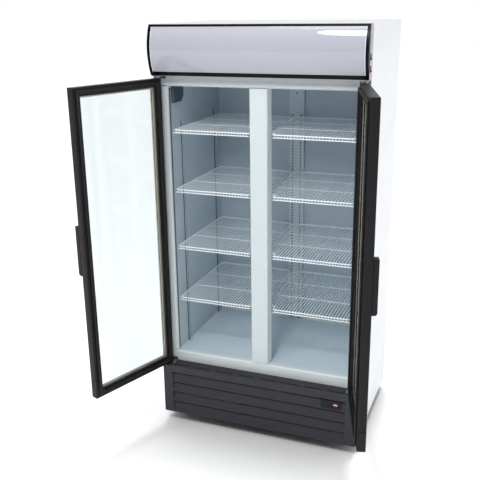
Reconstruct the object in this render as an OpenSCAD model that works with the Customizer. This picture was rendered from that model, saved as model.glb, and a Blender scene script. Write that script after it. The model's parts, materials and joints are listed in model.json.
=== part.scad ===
// Upright display refrigerator with two hinged glass doors, wire shelves, a lit header
// above the doors and a louvred machine compartment below them.
// Millimetres. +Z is up, +Y runs from the doors to the back, X runs across.
// Most modules are drawn from the front plane, the plane that the closed doors seal on,
// and at_front() then puts them in the part's own frame.

/* [Cabinet] */
// Width over the side panels
cabinet_w = 1000; // [900:10:1300]
// Height from the floor to the top panel
cabinet_h = 1995; // [1850:5:2150]
// Depth from the front plane to the rear panel
cabinet_d = 665; // [600:5:760]
// Gap between the floor and the base
floor_gap = 60; // [50:1:100]
// Height of the machine compartment
machine_h = 268; // [250:1:320]
// Height of the header above the doors
header_h = 223; // [180:1:280]
// Thickness of the outer steel sheets
sheet_t = 1.2; // [0.8:0.1:2]
// Thickness of the liner sheets
liner_t = 1.5; // [1:0.1:2.5]
// Thickness of each insulated side wall
side_wall = 55; // [50:1:70]
// Thickness of the insulated rear wall
rear_wall = 60; // [55:1:75]
// Thickness of the insulated ceiling
ceiling_wall = 50; // [40:1:70]

/* [Front frame] */
// Height of the sill under the opening
sill_h = 54; // [48:1:80]
// Height of the beam over the opening
beam_h = 52; // [40:1:80]
// Width of the jamb at each side
jamb_w = 36; // [30:1:40]
// Width of the side panels' folded front edge
fold_w = 21; // [18:1:24]
// Depth of the frame strips
strip_d = 30; // [26:1:40]
// Wall of the hollow strips
strip_wall = 3; // [2:0.5:4]
// Radius of their inner front edge
strip_r = 10; // [4:1:11]
// Width of the light strip let into each jamb
light_w = 14; // [8:1:16]
// Depth of the light strip
light_t = 6; // [4:0.5:8]
// Width of the centre post
mullion_w = 86; // [80:1:110]
// Depth of the centre post
mullion_d = 61; // [50:1:90]
// Wall of the centre post
mullion_wall = 1.5; // [1:0.1:3]
// Radius of its upright edges
mullion_r = 8; // [4:1:12]

/* [Doors] */
// Gap between the door's edge and the cabinet's side
door_side_gap = 1.5; // [1:0.5:4]
// Gap between the two doors
door_meet_gap = 3; // [3:0.5:8]
// Gap under the doors
door_foot_gap = 4; // [4:0.5:8]
// Gap over the doors
door_head_gap = 13; // [12:0.5:20]
// Face width of the door's frame bars
bar_w = 38; // [34:1:60]
// Thickness of the door's frame
bar_t = 38; // [36:1:50]
// Depth of the glass groove in the bars
groove_d = 10; // [6:1:14]
// Thickness of each glass pane
pane_t = 4; // [3:0.5:6]
// Width of the sealed space between the panes
pane_gap = 12; // [8:1:14]
// Height of the spacer's visible and hidden parts together
spacer_h = 17; // [12:1:20]
// Thickness of the gasket
gasket_t = 10; // [8:0.5:14]
// Width of the gasket
gasket_w = 16; // [12:1:20]
// Distance from the door's edge to the gasket
gasket_inset = 15; // [15:1:18]
// Distance from the door's edge to the hinge axis
hinge_edge = 12.5; // [10:0.5:16]
// Distance from the door's face to the hinge axis
hinge_depth = 13; // [11:0.5:16]
// Diameter of the hinge pins
pin_d = 8; // [6:1:10]
// Radial clearance of the pins in the doors
pin_clear = 0.05; // [0.02:0.01:0.1]
// Depth of the bores that the pins turn in
bore_h = 22; // [21:1:40]
// Angle that the left door stands open
left_open = 109.4; // [91:0.1:119]
// Angle that the right door stands open
right_open = 106.5; // [91:0.1:119]
// Length of the door pulls
pull_h = 230; // [150:5:400]
// Height of the pulls' centre above the floor
pull_z = 1048; // [900:1:1200]
// Width of the pulls
pull_w = 30; // [24:1:34]
// Depth of the pulls in front of the doors
pull_d = 21; // [16:1:40]
// Wall of the pulls at the free edge and the ends
pull_wall = 7; // [5:0.5:8]
// Thickness of the pulls' base and front
pull_sheet = 4; // [3:0.5:5]

/* [Header] */
// Depth of the header box in front of the front plane
header_d = 47; // [40:1:60]
// Depth of the header box behind the front plane
header_back = 7; // [4:1:12]
// Bulge of the header's face
header_bulge = 28; // [10:1:40]
// Width of the black trim at the header's ends
trim_end = 14; // [10:1:20]
// Height of the black trim under the header's panel
trim_low = 18; // [14:1:24]
// Height of the black trim over the header's panel
trim_high = 10; // [8:1:16]
// Thickness of the header's panel
panel_t = 3; // [2:0.5:5]
// Diameter of the lamp tube
lamp_d = 16; // [12:1:26]
// Distance from each end of the lamp to the cabinet's side
lamp_end = 50; // [35:1:150]
// Height of the switch bezels
switch_h = 27; // [26:1:30]
// Width of the switch bezels
switch_w = 17; // [17:0.5:20]
// Height of the upper switch above the header's underside
switch_z = 91; // [80:1:120]
// Distance between the two switches
switch_pitch = 49; // [36:1:60]
// Angle that a rocker leans to each side
rocker_tilt = 10; // [6:1:12]

/* [Grille] */
// Depth of the grille in front of the front plane
grille_d = 68; // [60:1:90]
// Thickness of the grille's sheet
grille_t = 2; // [1.5:0.1:3]
// Width of the plain band at each end of the louvres
grille_end = 50; // [30:1:80]
// Height of the plain band over the louvres
grille_band = 39; // [30:1:60]
// Number of louvres
louvre_count = 4; // [3:1:6]
// How far the louvres' upper edges lean back
louvre_lean = 12; // [6:1:20]
// Open gap over each louvre
louvre_gap = 9; // [5:1:14]
// Length of the slots along the grille's upper edge
ledge_slot = 86; // [40:1:90]
// Width of those slots
ledge_slot_w = 6; // [3:0.5:8]
// Number of those slots
ledge_slots = 8; // [4:2:8]
// Distance from the ends of the cabinet to the row of slots
ledge_end = 42; // [20:1:60]
// Width of the temperature controller's bezel
control_w = 96; // [70:1:100]
// Height of the bezel
control_h = 40; // [30:1:48]

/* [Shelves] */
// Pitch of the slots that the shelf clips hang in
slot_pitch = 16; // [12:1:20]
// Slot that each level hangs in, counted from the floor
shelf_slots = [17, 34, 52, 70];
// Diameter of the shelf's frame rods
frame_rod = 6; // [5:0.5:8]
// Diameter of the deck wires
deck_wire = 3; // [2:0.5:4]
// Diameter of their turned-down ends
end_wire = 2.6; // [1.8:0.1:3.8]
// Diameter of the two cross wires under the deck
cross_wire = 4; // [3:0.5:5]
// Pitch of the deck wires
wire_pitch = 14.4; // [12:0.1:30]
// Drop from the front rod to the lower front rod
front_drop = 13; // [10:1:25]
// Depth of the upright slotted channels
channel_t = 5; // [4:0.5:6]
// Width of the upright slotted channels on the side walls
channel_w = 24; // [20:1:40]
// Width of the two slotted channels at the centre
centre_w = 80; // [70:1:84]
// Depth of the channel on the rear wall
centre_t = 15; // [15:1:20]
// Distance from the channel's middle to each row of slots
row_x = 21; // [16:1:28]

/* [Machinery] */
// Radius of the compressor's shell
shell_r = 92; // [80:1:100]
// Radius of the condenser fan
cond_fan_r = 110; // [90:1:112]
// Radius of the two evaporator fans
evap_fan_r = 95; // [70:1:100]
// Width of the condenser coil
cond_w = 300; // [260:5:340]
// Width of the evaporator coil
evap_w = 640; // [500:10:700]
// Radius of the feet's pads
foot_r = 22; // [18:1:30]

/* [Hidden] */

$fn = 48;

// Clearance between pieces that are screwed or pushed together
fit = 0.2;
// Seam between neighbouring sheets and strips
seam = 0.3;
// Gap left between faces that meet when a door closes
closed_gap = 0.3;
// Overlap that welds crossing wires together
weld = 0.6;
// Sides of the rods and wires
rod_sides = 8;

// Levels
deck_z = floor_gap + machine_h;
opening_z0 = deck_z + sill_h;
header_z = cabinet_h - header_h;
opening_z1 = header_z - beam_h;
floor_z = opening_z0 - 2;
ceiling_z = cabinet_h - ceiling_wall;
half_w = cabinet_w / 2;
liner_x = half_w - side_wall;
liner_y = cabinet_d - rear_wall;
frame_x = half_w - fold_w;
jamb_x = frame_x - jamb_w;

// Doors
door_w = half_w - door_side_gap - door_meet_gap / 2;
door_z0 = deck_z + door_foot_gap;
door_z1 = header_z - door_head_gap;
door_h = door_z1 - door_z0;
hinge_x = half_w - door_side_gap - hinge_edge;
hinge_y = -(gasket_t + bar_t - hinge_depth);
bracket_x0 = hinge_x - 39;
bracket_t = 4;
bracket_h = 13;
groove_w = 2 * pane_t + pane_gap;
glass_front = gasket_t + (bar_t + groove_w) / 2;
glass_back = glass_front - groove_w;
glass_inset = bar_w - groove_d + fit;

// The origin is on the floor, midway between the open doors' edges and the rear panel
function door_reach(a) = (door_w - hinge_edge) * sin(a) - (bar_t - hinge_depth) * cos(a);
front_reach = max(door_reach(left_open), door_reach(right_open)) - hinge_y;
front_y = -round((cabinet_d - front_reach) / 2);

// Header
face_rise = header_h / 2;
face_r = (face_rise * face_rise + header_bulge * header_bulge) / (2 * header_bulge);
face_y = -header_d - header_bulge + face_r;
face_z = header_z + face_rise;
switch_y = -header_d + 17;
rocker_h = switch_h - 5;
rocker_w = switch_w - 5;

// Grille
louvre_z1 = deck_z - grille_band;
louvre_z0 = floor_gap + 10;
louvre_pitch = (louvre_z1 - louvre_z0) / louvre_count;
louvre_x = half_w - grille_end;
ledge_r = 8;
ledge_pitch = (cabinet_w - 2 * ledge_end) / ledge_slots;
control_x = louvre_x - 20 - control_w / 2;
control_z = louvre_z1 - 2 - control_h / 2;
control_case = [control_w - 20, 50, control_h - 8];
screw_hole = 2.2;
screw_spots = [[half_w - 10, floor_gap + 22], [half_w - 10, deck_z - 53]];

// Shelves
slot_z0 = floor_z + 8;
slot_h = 8;
slot_w = 6;
clip_rise = 3;
slot_count = max(shelf_slots) + 2;
channel_z1 = slot_z0 + slot_count * slot_pitch;
channel_sheet = 1.5;
wall_rows = [140, liner_y - 62];
mullion_face = mullion_d + channel_t + 1;
mullion_corners = [mullion_r, mullion_r, 2, 2];
rail_screw_z = floor_z + 1257;
shelf_r = frame_rod / 2;
side_rod = frame_rod - 0.3;
corner_rod = frame_rod - 0.6;
shelf_x0 = 8 + shelf_r;
shelf_xn = mullion_w / 2 + 12 + shelf_r;
shelf_x1 = liner_x - channel_t - 1 - shelf_r;
shelf_ya = strip_d - 2 + shelf_r;
shelf_yn = mullion_face + 2 + shelf_r;
shelf_yb = liner_y - centre_t - 2 - shelf_r;
inner_bend = 28;
outer_bend = 14;
corner_y = shelf_yb - inner_bend + row_x - slot_w / 2 - shelf_x0;
rear_reach = liner_y - centre_t - corner_y + corner_rod / sqrt(2) + 0.6;
function slot_z(n) = slot_z0 + n * slot_pitch;
function shelf_top(n) = slot_z(n) + clip_rise + frame_rod + deck_wire - weld;

// Machinery
pan_t = 2;
pan_z = floor_gap + pan_t;
comp = [240, 400];
comp_z = pan_z + 22;
comp_h = 170;
cond_x0 = -half_w + 70;
cond_y = 12;
cond_d = 50;
cond_z1 = floor_gap + 240;
cond_fan = [cond_x0 + cond_w / 2, cond_y + cond_d + 26, floor_gap + 124];
cond_rows = 2;
cond_passes = 6;
cond_line_y = cond_y + cond_d * (cond_rows - 0.5) / cond_rows;
function cond_pass_z(i) = pan_z + (cond_z1 - pan_z) * (i + 0.5) / cond_passes;
drier = [-40, 120];
drier_l = 118;
cover_z = opening_z1 + 4;
cover_t = 2;
coil_d = 150;
coil_gap = 55;
coil_y = liner_y - coil_gap - coil_d;
tray_lip = 10;
evap_fan = [220, (strip_d + coil_y - tray_lip) / 2, cover_z + cover_t + 28];
coil_z = cover_z + cover_t + 14;
coil_h = 110;
coil_rows = 2;
coil_passes = 3;
coil_line_y = coil_y + coil_d * (coil_rows - 0.5) / coil_rows;
function coil_pass_z(i) = coil_z + coil_h * (i + 0.5) / coil_passes;
tube_end = 6;
line_y = liner_y + 30;
line_hole = 8;
suction = [evap_w / 2 + 30, coil_pass_z(1)];
capillary = [evap_w / 2 + 50, coil_pass_z(2)];
drain_d = 12;
drain_x = row_x / 2;
drain_y = liner_y - (centre_t - channel_sheet) / 2;
motor_r = 38;
motor_h = 42;
shaft_d = 6;
foot_spots = [[half_w - 70, 60], [half_w - 70, cabinet_d - 60]];
inlet = [-half_w + 120, floor_gap + 80];

// Placing and repeating

// Puts a piece drawn from the front plane in the part's own frame
module at_front() {
    translate([0, front_y, 0]) children();
}

// A piece and its mirror image across the cabinet's middle
module both_sides() {
    for (side = [0, 1]) mirror([side, 0, 0]) children();
}

// A block between two corners
module block(a, b) {
    translate(a) cube(b - a);
}

// A straight rod between two points
module rod(a, b, d, sides = rod_sides) {
    v = b - a;
    translate(a)
        rotate([0, acos(v[2] / norm(v)), atan2(v[1], v[0])])
            rotate([0, 0, 180 / sides])
                cylinder(h = norm(v), d = d / cos(180 / sides), $fn = sides);
}

// A bent tube through a list of points, with a ball at each bend
module tube(points, d) {
    for (i = [1 : len(points) - 1]) rod(points[i - 1], points[i], d, 24);
    for (i = [1 : 1 : len(points) - 2]) translate(points[i]) sphere(d = d + 1, $fn = 32);
}

// A rectangle from the origin with chosen corner radii, anticlockwise from the origin
module rounded(w, h, radii) {
    difference() {
        square([w, h]);
        corner(0, 0, 1, 1, radii[0]);
        corner(w, 0, -1, 1, radii[1]);
        corner(w, h, -1, -1, radii[2]);
        corner(0, h, 1, -1, radii[3]);
    }
}

// What a rounded corner takes away
module corner(x, y, sx, sy, r) {
    if (r > 0)
        translate([x, y]) scale([sx, sy])
            difference() {
                translate([-1, -1]) square(r + 1);
                translate([r, r]) circle(r = r);
            }
}

// That rectangle drawn in by a distance all round, its corners rounded to match
module inset_outline(w, h, radii, inset) {
    translate([inset, inset])
        rounded(w - 2 * inset, h - 2 * inset, [for (r = radii) max(r - inset, 0)]);
}

// A hollow profile: an outline with a smaller one inside it
module hollow_strip(w, h, radii, wall) {
    difference() {
        rounded(w, h, radii);
        inset_outline(w, h, radii, wall);
    }
}

// An outline in Y and Z, run across the cabinet
module across(length) {
    translate([-length / 2, 0, 0])
        rotate([90, 0, 90])
            linear_extrude(height = length) children();
}

// Turns a closed door's drawing, X across, Y up and Z forwards, into the left doorway
module hang_left() {
    at_front()
        translate([-hinge_x, hinge_y, 0])
            rotate([0, 0, -left_open])
                translate([-hinge_edge, -hinge_y, door_z0])
                    rotate([90, 0, 0]) children();
}

// The same for the right doorway
module hang_right() {
    at_front()
        translate([hinge_x, hinge_y, 0])
            rotate([0, 0, right_open])
                mirror([1, 0, 0])
                    translate([-hinge_edge, -hinge_y, door_z0])
                        rotate([90, 0, 0]) children();
}

// Cabinet shell

module side_panel() {
    z0 = floor_gap;
    difference() {
        union() {
            block([half_w - sheet_t, 0, z0], [half_w, cabinet_d, cabinet_h]);
            block([frame_x, 0, deck_z], [half_w - sheet_t, sheet_t, header_z]);
        }
        block([half_w - 2 * sheet_t, -1, header_z],
              [half_w + 1, header_back + fit, cabinet_h + 1]);
    }
    block([half_w - 15, cabinet_d - sheet_t, z0], [half_w - sheet_t, cabinet_d, cabinet_h]);
}

module side_panel_left() {
    color("whitesmoke") at_front() mirror([1, 0, 0]) side_panel();
}

module side_panel_right() {
    color("whitesmoke") at_front() side_panel();
}

module rear_panel() {
    x = half_w - 15 - fit;
    color("gainsboro") at_front()
        block([-x, cabinet_d - sheet_t, deck_z + 1], [x, cabinet_d, cabinet_h - sheet_t - fit]);
}

module top_panel() {
    x = half_w - sheet_t - fit;
    color("whitesmoke") at_front()
        block([-x, header_back + fit, cabinet_h - sheet_t],
              [x, cabinet_d - sheet_t - fit, cabinet_h]);
}

// Base pan, four corner posts and the plate that closes the machine compartment above
module base_frame() {
    x = half_w - sheet_t - fit;
    y0 = 2;
    y1 = cabinet_d - sheet_t - fit;
    post = 40;
    wall = 2;
    color("dimgray") at_front() {
        difference() {
            block([-x, y0, floor_gap], [x, y1, pan_z]);
            both_sides() for (p = foot_spots)
                translate([p[0], p[1], floor_gap - 1]) cylinder(h = pan_t + 2, r = 5.2);
        }
        both_sides() {
            for (y = [y0, y1 - post])
                block([x - wall, y, pan_z + seam], [x, y + post, deck_z - seam]);
            for (y = [y0, y1 - wall])
                block([x - post, y, pan_z + seam], [x - wall, y + wall, deck_z - seam]);
        }
        difference() {
            block([-x, strip_d + fit, deck_z + 1], [x, y1, deck_z + 1 + sheet_t]);
            line_holes(deck_z, deck_z + 4);
        }
    }
}

// What the drain and the two refrigerant lines need to pass a sheet
module line_holes(z0, z1) {
    translate([drain_x, drain_y, z0]) cylinder(h = z1 - z0, r = drain_d / 2 + fit);
    for (l = [suction, capillary])
        translate([l[0], line_y, z0]) cylinder(h = z1 - z0, r = line_hole);
}

// What the two lines need where they turn forwards through the rear wall
module line_bends() {
    for (l = [suction, capillary]) {
        translate([l[0], line_y, deck_z])
            cylinder(h = l[1] + 2 * line_hole - deck_z, r = line_hole);
        translate([l[0], line_y + line_hole, l[1]])
            rotate([90, 0, 0]) cylinder(h = line_y - liner_y + 2 * line_hole, r = line_hole);
    }
}

// Foam between the outer sheets and the liner, and inside the centre post
module insulation() {
    x = half_w - sheet_t - fit;
    in_x = liner_x + liner_t + fit;
    y0 = sheet_t + fit;
    color("khaki") at_front() {
        difference() {
            block([-x, y0, deck_z + 1 + sheet_t + fit],
                  [x, cabinet_d - sheet_t - fit, cabinet_h - sheet_t - fit]);
            block([-in_x, strip_d - liner_t - fit, floor_z - liner_t - fit],
                  [in_x, liner_y + liner_t + fit, ceiling_z + liner_t + fit]);
            block([-frame_x - fit, -1, deck_z - 1], [frame_x + fit, strip_d + fit, header_z + fit]);
            block([-half_w, -1, header_z], [half_w, header_back + fit, cabinet_h]);
            line_holes(deck_z, floor_z);
            line_bends();
        }
        translate([-mullion_w / 2, 0, opening_z0 + fit])
            linear_extrude(height = opening_z1 - opening_z0 - 2 * fit)
                inset_outline(mullion_w, mullion_d, mullion_corners, mullion_wall + fit);
    }
}

// Six flat sheets with seams at the corners
module inner_liner() {
    x = liner_x - seam;
    y0 = strip_d + seam;
    y1 = liner_y - seam;
    color("lightsteelblue") at_front() {
        both_sides()
            block([liner_x, y0, floor_z - liner_t], [liner_x + liner_t, liner_y, ceiling_z]);
        difference() {
            block([-x, liner_y, floor_z + seam], [x, liner_y + liner_t, ceiling_z - seam]);
            line_bends();
        }
        difference() {
            block([-x, y0, floor_z - liner_t], [x, y1, floor_z]);
            line_holes(floor_z - liner_t - 1, floor_z + 1);
        }
        block([-x, y0, ceiling_z], [x, y1, ceiling_z + liner_t]);
        block([-x, strip_d - liner_t, opening_z1 + seam], [x, strip_d, ceiling_z - seam]);
    }
}

// Sill, beam and two jambs: hollow strips with a rounded edge towards the opening
module front_frame() {
    depth = strip_d - liner_t - fit;
    color("lightgray") at_front() {
        difference() {
            across(2 * frame_x) translate([0, deck_z])
                hollow_strip(strip_d, sill_h, [0, 0, 0, strip_r], strip_wall);
            bracket_screws() cylinder(h = 20, r = screw_hole, $fn = 24);
        }
        difference() {
            across(2 * frame_x) translate([0, opening_z1])
                hollow_strip(depth, beam_h, [strip_r, 0, 0, 0], strip_wall);
            bracket_screws() cylinder(h = 20, r = screw_hole, $fn = 24);
        }
        both_sides()
            translate([0, 0, opening_z0 + seam])
                linear_extrude(height = opening_z1 - opening_z0 - 2 * seam)
                    difference() {
                        translate([jamb_x, 0]) rounded(jamb_w, strip_d, [strip_r, 0, 0, 0]);
                        translate([jamb_x - 1, light_y()]) square([light_t + 1, light_w]);
                        translate([jamb_x + light_t + strip_wall, strip_wall])
                            square([jamb_w - light_t - 2 * strip_wall, strip_d - 2 * strip_wall]);
                    }
    }
}

// Where the light strip starts behind the front plane
function light_y() = strip_r + (strip_d - strip_r - light_w) / 2;

module light_strips() {
    color("slategray") at_front() both_sides()
        block([jamb_x + fit, light_y() + fit, opening_z0 + 12],
              [jamb_x + light_t - fit, light_y() + light_w - fit, opening_z1 - 12]);
}

module mullion() {
    color("white") at_front()
        translate([-mullion_w / 2, 0, opening_z0])
            linear_extrude(height = opening_z1 - opening_z0)
                hollow_strip(mullion_w, mullion_d, mullion_corners, mullion_wall);
}

// Box for the lamps' supply, high on the left wall just inside the opening
module lamp_driver_box() {
    y0 = strip_d + 5;
    notch = 26;
    h = 76;
    z1 = opening_z1 - 4;
    color("dimgray") at_front()
        translate([-liner_x + fit, 0, 0]) rotate([90, 0, 90])
            linear_extrude(height = 18)
                polygon([[y0, z1 - h], [y0 + 100 - notch, z1 - h], [y0 + 100, z1 - h + notch],
                         [y0 + 100, z1], [y0, z1]]);
}

// Slotted channels and shelf clips

// The middle of the screw that holds the rear channel, facing the front
module rail_screw() {
    translate([0, liner_y - centre_t, rail_screw_z]) rotate([-90, 0, 0]) children();
}

// A channel open towards the wall, drawn face down with its slots in rows
module slotted_channel(w, t, h, rows) {
    difference() {
        cube([w, t, h]);
        translate([channel_sheet, channel_sheet, -1])
            cube([w - 2 * channel_sheet, t, h + 2]);
        for (x = rows, n = [0 : slot_count - 1])
            translate([w / 2 + x - slot_w / 2, -1, slot_z(n) - slot_h / 2 - floor_z])
                cube([slot_w, channel_sheet + 2, slot_h]);
    }
}

// Two channels on each side wall
module wall_channels() {
    color("slategray") at_front() both_sides()
        for (y = wall_rows)
            translate([liner_x - channel_t, y + channel_w / 2, floor_z])
                rotate([0, 0, -90])
                    slotted_channel(channel_w, channel_t - fit, channel_z1 - floor_z, [0]);
}

// A channel on the rear wall, which hides the drain, and one behind the centre post
module centre_channels() {
    color("slategray") at_front() {
        difference() {
            translate([-centre_w / 2, liner_y - centre_t, floor_z])
                slotted_channel(centre_w, centre_t, cover_z - floor_z - fit, [-row_x, row_x]);
            rail_screw() translate([0, 0, -1]) cylinder(h = 4, r = screw_hole, $fn = 24);
        }
        translate([centre_w / 2, mullion_face, floor_z])
            rotate([0, 0, 180])
                slotted_channel(centre_w, mullion_face - mullion_d - fit,
                                opening_z1 - floor_z - fit, [-row_x, row_x]);
    }
}

// A clip: a tab through the slot, an upright plate and a ledge, all towards -Y
module clip(reach) {
    w = slot_w - 1;
    translate([-w / 2, 0, 0]) {
        translate([0, -2, -6]) cube([w, 2, 6 + clip_rise]);
        translate([0, -0.5, -2]) cube([w, channel_sheet + 2, 4]);
        translate([0, -reach, 0]) cube([w, reach, clip_rise - fit]);
        translate([0, -reach - 1.5, 0]) cube([w, 1.5, clip_rise + 2]);
    }
}

// Four clips under each of the eight shelves
module shelf_clips() {
    color("silver") at_front() both_sides()
        for (n = shelf_slots) translate([0, 0, slot_z(n)]) {
            for (y = wall_rows)
                translate([liner_x - channel_t, y, 0]) rotate([0, 0, -90]) clip(9);
            translate([row_x, liner_y - centre_t, 0]) clip(rear_reach);
            translate([row_x, mullion_face, 0]) rotate([0, 0, 180]) clip(10);
        }
}

// Wire shelves

// One shelf for the right bay, with the corner that clears the centre post
module wire_shelf(n) {
    top = shelf_top(n);
    under = top - deck_wire + weld;
    z = under - shelf_r;
    low = z - front_drop;
    wires = floor((shelf_x1 - shelf_x0) / wire_pitch);
    step = (shelf_x1 - shelf_x0) / wires;
    ends = shelf_r;
    lap = shelf_r / 2;
    color("white") at_front() {
        // Rods across the shelf: front, notch and rear
        frame_side([shelf_xn - ends, shelf_ya], [shelf_x1 + ends, shelf_ya], z, frame_rod);
        frame_side([shelf_x0 - ends, shelf_yn], [shelf_xn + ends, shelf_yn], z, frame_rod);
        frame_side([shelf_x0 + inner_bend - lap, shelf_yb],
                   [shelf_x1 - outer_bend + lap, shelf_yb], z, frame_rod);
        // Rods along the shelf: notch, inner side and outer side
        frame_side([shelf_xn, shelf_ya], [shelf_xn, shelf_yn], z, side_rod);
        frame_side([shelf_x0, shelf_yn], [shelf_x0, shelf_yb - inner_bend + lap], z, side_rod);
        frame_side([shelf_x1, shelf_ya], [shelf_x1, shelf_yb - outer_bend + lap], z, side_rod);
        // Rods across the two rear corners
        frame_side([shelf_x0, shelf_yb - inner_bend], [shelf_x0 + inner_bend, shelf_yb], z,
                   corner_rod, lap);
        frame_side([shelf_x1, shelf_yb - outer_bend], [shelf_x1 - outer_bend, shelf_yb], z,
                   corner_rod, lap);
        rod([shelf_xn, shelf_ya, low], [shelf_x1 + 2, shelf_ya, low], frame_rod - 1);
        for (share = [1 / 3, 2 / 3])
            cross_wire_at(shelf_ya + (shelf_yb - shelf_ya) * share, under - cross_wire / 2);
        for (i = [1 : wires - 1]) deck_wire_at(shelf_x0 + i * step, top - deck_wire / 2, low);
    }
}

// A frame rod between two points, lengthened at both ends
module frame_side(a, b, z, d, more = 0) {
    along = (b - a) / norm(b - a) * more;
    from = a - along;
    to = b + along;
    rod([from[0], from[1], z], [to[0], to[1], z], d);
}

// A wire across the shelf under its deck
module cross_wire_at(y, z) {
    rod([shelf_x0, y, z], [shelf_x1, y, z], cross_wire);
}

// A deck wire, and its turned-down end where it reaches the front
module deck_wire_at(x, z, low) {
    front = x > shelf_xn + 1;
    rod([x, front ? shelf_ya - end_wire / 2 : shelf_yn - weld, z], [x, rear_end(x), z],
        deck_wire, 6);
    if (front) rod([x, shelf_ya, low], [x, shelf_ya, z], end_wire, 6);
}

// Where a deck wire ends: on the rear rod, or on the rod across a rear corner
function rear_end(x) =
    min(shelf_yb, shelf_yb - inner_bend + x - shelf_x0, shelf_yb + shelf_x1 - outer_bend - x);

module shelf_1_left() { mirror([1, 0, 0]) wire_shelf(shelf_slots[0]); }
module shelf_1_right() { wire_shelf(shelf_slots[0]); }
module shelf_2_left() { mirror([1, 0, 0]) wire_shelf(shelf_slots[1]); }
module shelf_2_right() { wire_shelf(shelf_slots[1]); }
module shelf_3_left() { mirror([1, 0, 0]) wire_shelf(shelf_slots[2]); }
module shelf_3_right() { wire_shelf(shelf_slots[2]); }
module shelf_4_left() { mirror([1, 0, 0]) wire_shelf(shelf_slots[3]); }
module shelf_4_right() { wire_shelf(shelf_slots[3]); }

// Header

// Sheet box open at the front, cut for the switches
module header_box() {
    x = half_w;
    color("silver") at_front() difference() {
        block([-x, -header_d, header_z], [x, header_back, cabinet_h]);
        block([-x + sheet_t, -header_d - 1, header_z + sheet_t],
              [x - sheet_t, header_back - sheet_t, cabinet_h - sheet_t]);
        switch_spots()
            translate([-20, -rocker_w / 2 - 1, -rocker_h / 2 - 1.5])
                cube([30, rocker_w + 2, rocker_h + 3]);
    }
}

// The two switch places on the header's right end
module switch_spots() {
    for (i = [0, 1])
        translate([half_w, switch_y, header_z + switch_z - i * switch_pitch]) children();
}

// The bulging face as an outline, from the box's front edge to the arc
module face_outline(inset) {
    intersection() {
        translate([face_y, face_z]) circle(r = face_r - inset, $fn = 360);
        translate([-header_d - header_bulge, header_z]) square([header_bulge - fit, header_h]);
    }
}

// Black rim round the face
module header_trim() {
    color("black") at_front() difference() {
        across(cabinet_w) face_outline(0);
        block([-half_w + trim_end, -header_d - header_bulge - 1, header_z + trim_low],
              [half_w - trim_end, 0, cabinet_h - trim_high]);
    }
}

// Translucent curved panel in the rim
module header_panel() {
    color("lavender", 0.9) at_front() intersection() {
        across(cabinet_w - 2 * trim_end - 2 * fit) difference() {
            face_outline(0.5);
            translate([face_y, face_z]) circle(r = face_r - 0.5 - panel_t, $fn = 360);
        }
        block([-half_w, -header_d - header_bulge - 1, header_z + trim_low + fit],
              [half_w, 0, cabinet_h - trim_high - fit]);
    }
}

// Lamp tube in its two holders on the header's back sheet
module header_lamp() {
    y = -22;
    holder = 22;
    lamp_len = cabinet_w - 2 * lamp_end;
    tube_l = lamp_len - 2 * holder - 2 * fit;
    color("white") at_front() translate([0, 0, face_z]) {
        translate([-tube_l / 2, y, 0]) rotate([0, 90, 0]) cylinder(h = tube_l, d = lamp_d);
        both_sides()
            block([lamp_len / 2 - holder, y - lamp_d / 2 - 2, -lamp_d / 2 - 4],
                  [lamp_len / 2, header_back - sheet_t - fit, lamp_d / 2 + 4]);
    }
}

// Bezel and body of a rocker switch, open to the side, with pivot holes
module switch_housings() {
    color("black") at_front() switch_spots() difference() {
        union() {
            translate([0, -switch_w / 2, -switch_h / 2]) cube([2, switch_w, switch_h]);
            translate([-18, -rocker_w / 2 - 1 + fit, -rocker_h / 2 - 1.5 + fit])
                cube([18, rocker_w + 2 - 2 * fit, rocker_h + 3 - 2 * fit]);
        }
        translate([-9, -rocker_w / 2, -rocker_h / 2]) cube([12, rocker_w, rocker_h]);
        rotate([90, 0, 0]) translate([0, 0, -rocker_w / 2 - 0.9])
            cylinder(h = rocker_w + 1.8, r = 1 + pin_clear, $fn = 24);
    }
}

// A rocker leaning to one side on its two pivots
module rocker(i) {
    h = rocker_h / 2 - 1.2;
    w = rocker_w - 0.6;
    color("crimson") at_front()
        translate([half_w, switch_y, header_z + switch_z - i * switch_pitch])
            rotate([0, -rocker_tilt, 0]) rotate([90, 0, 0]) {
                translate([0, 0, -w / 2]) linear_extrude(height = w)
                    polygon([[-4.5, -h + 0.8], [4, -h], [1.8, 0], [4, h], [-4.5, h - 0.8]]);
                translate([0, 0, -w / 2 - 0.8])
                    cylinder(h = w + 1.6, r = 1, $fn = 24);
            }
}

module rocker_upper() { rocker(0); }
module rocker_lower() { rocker(1); }

// Grille

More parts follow.
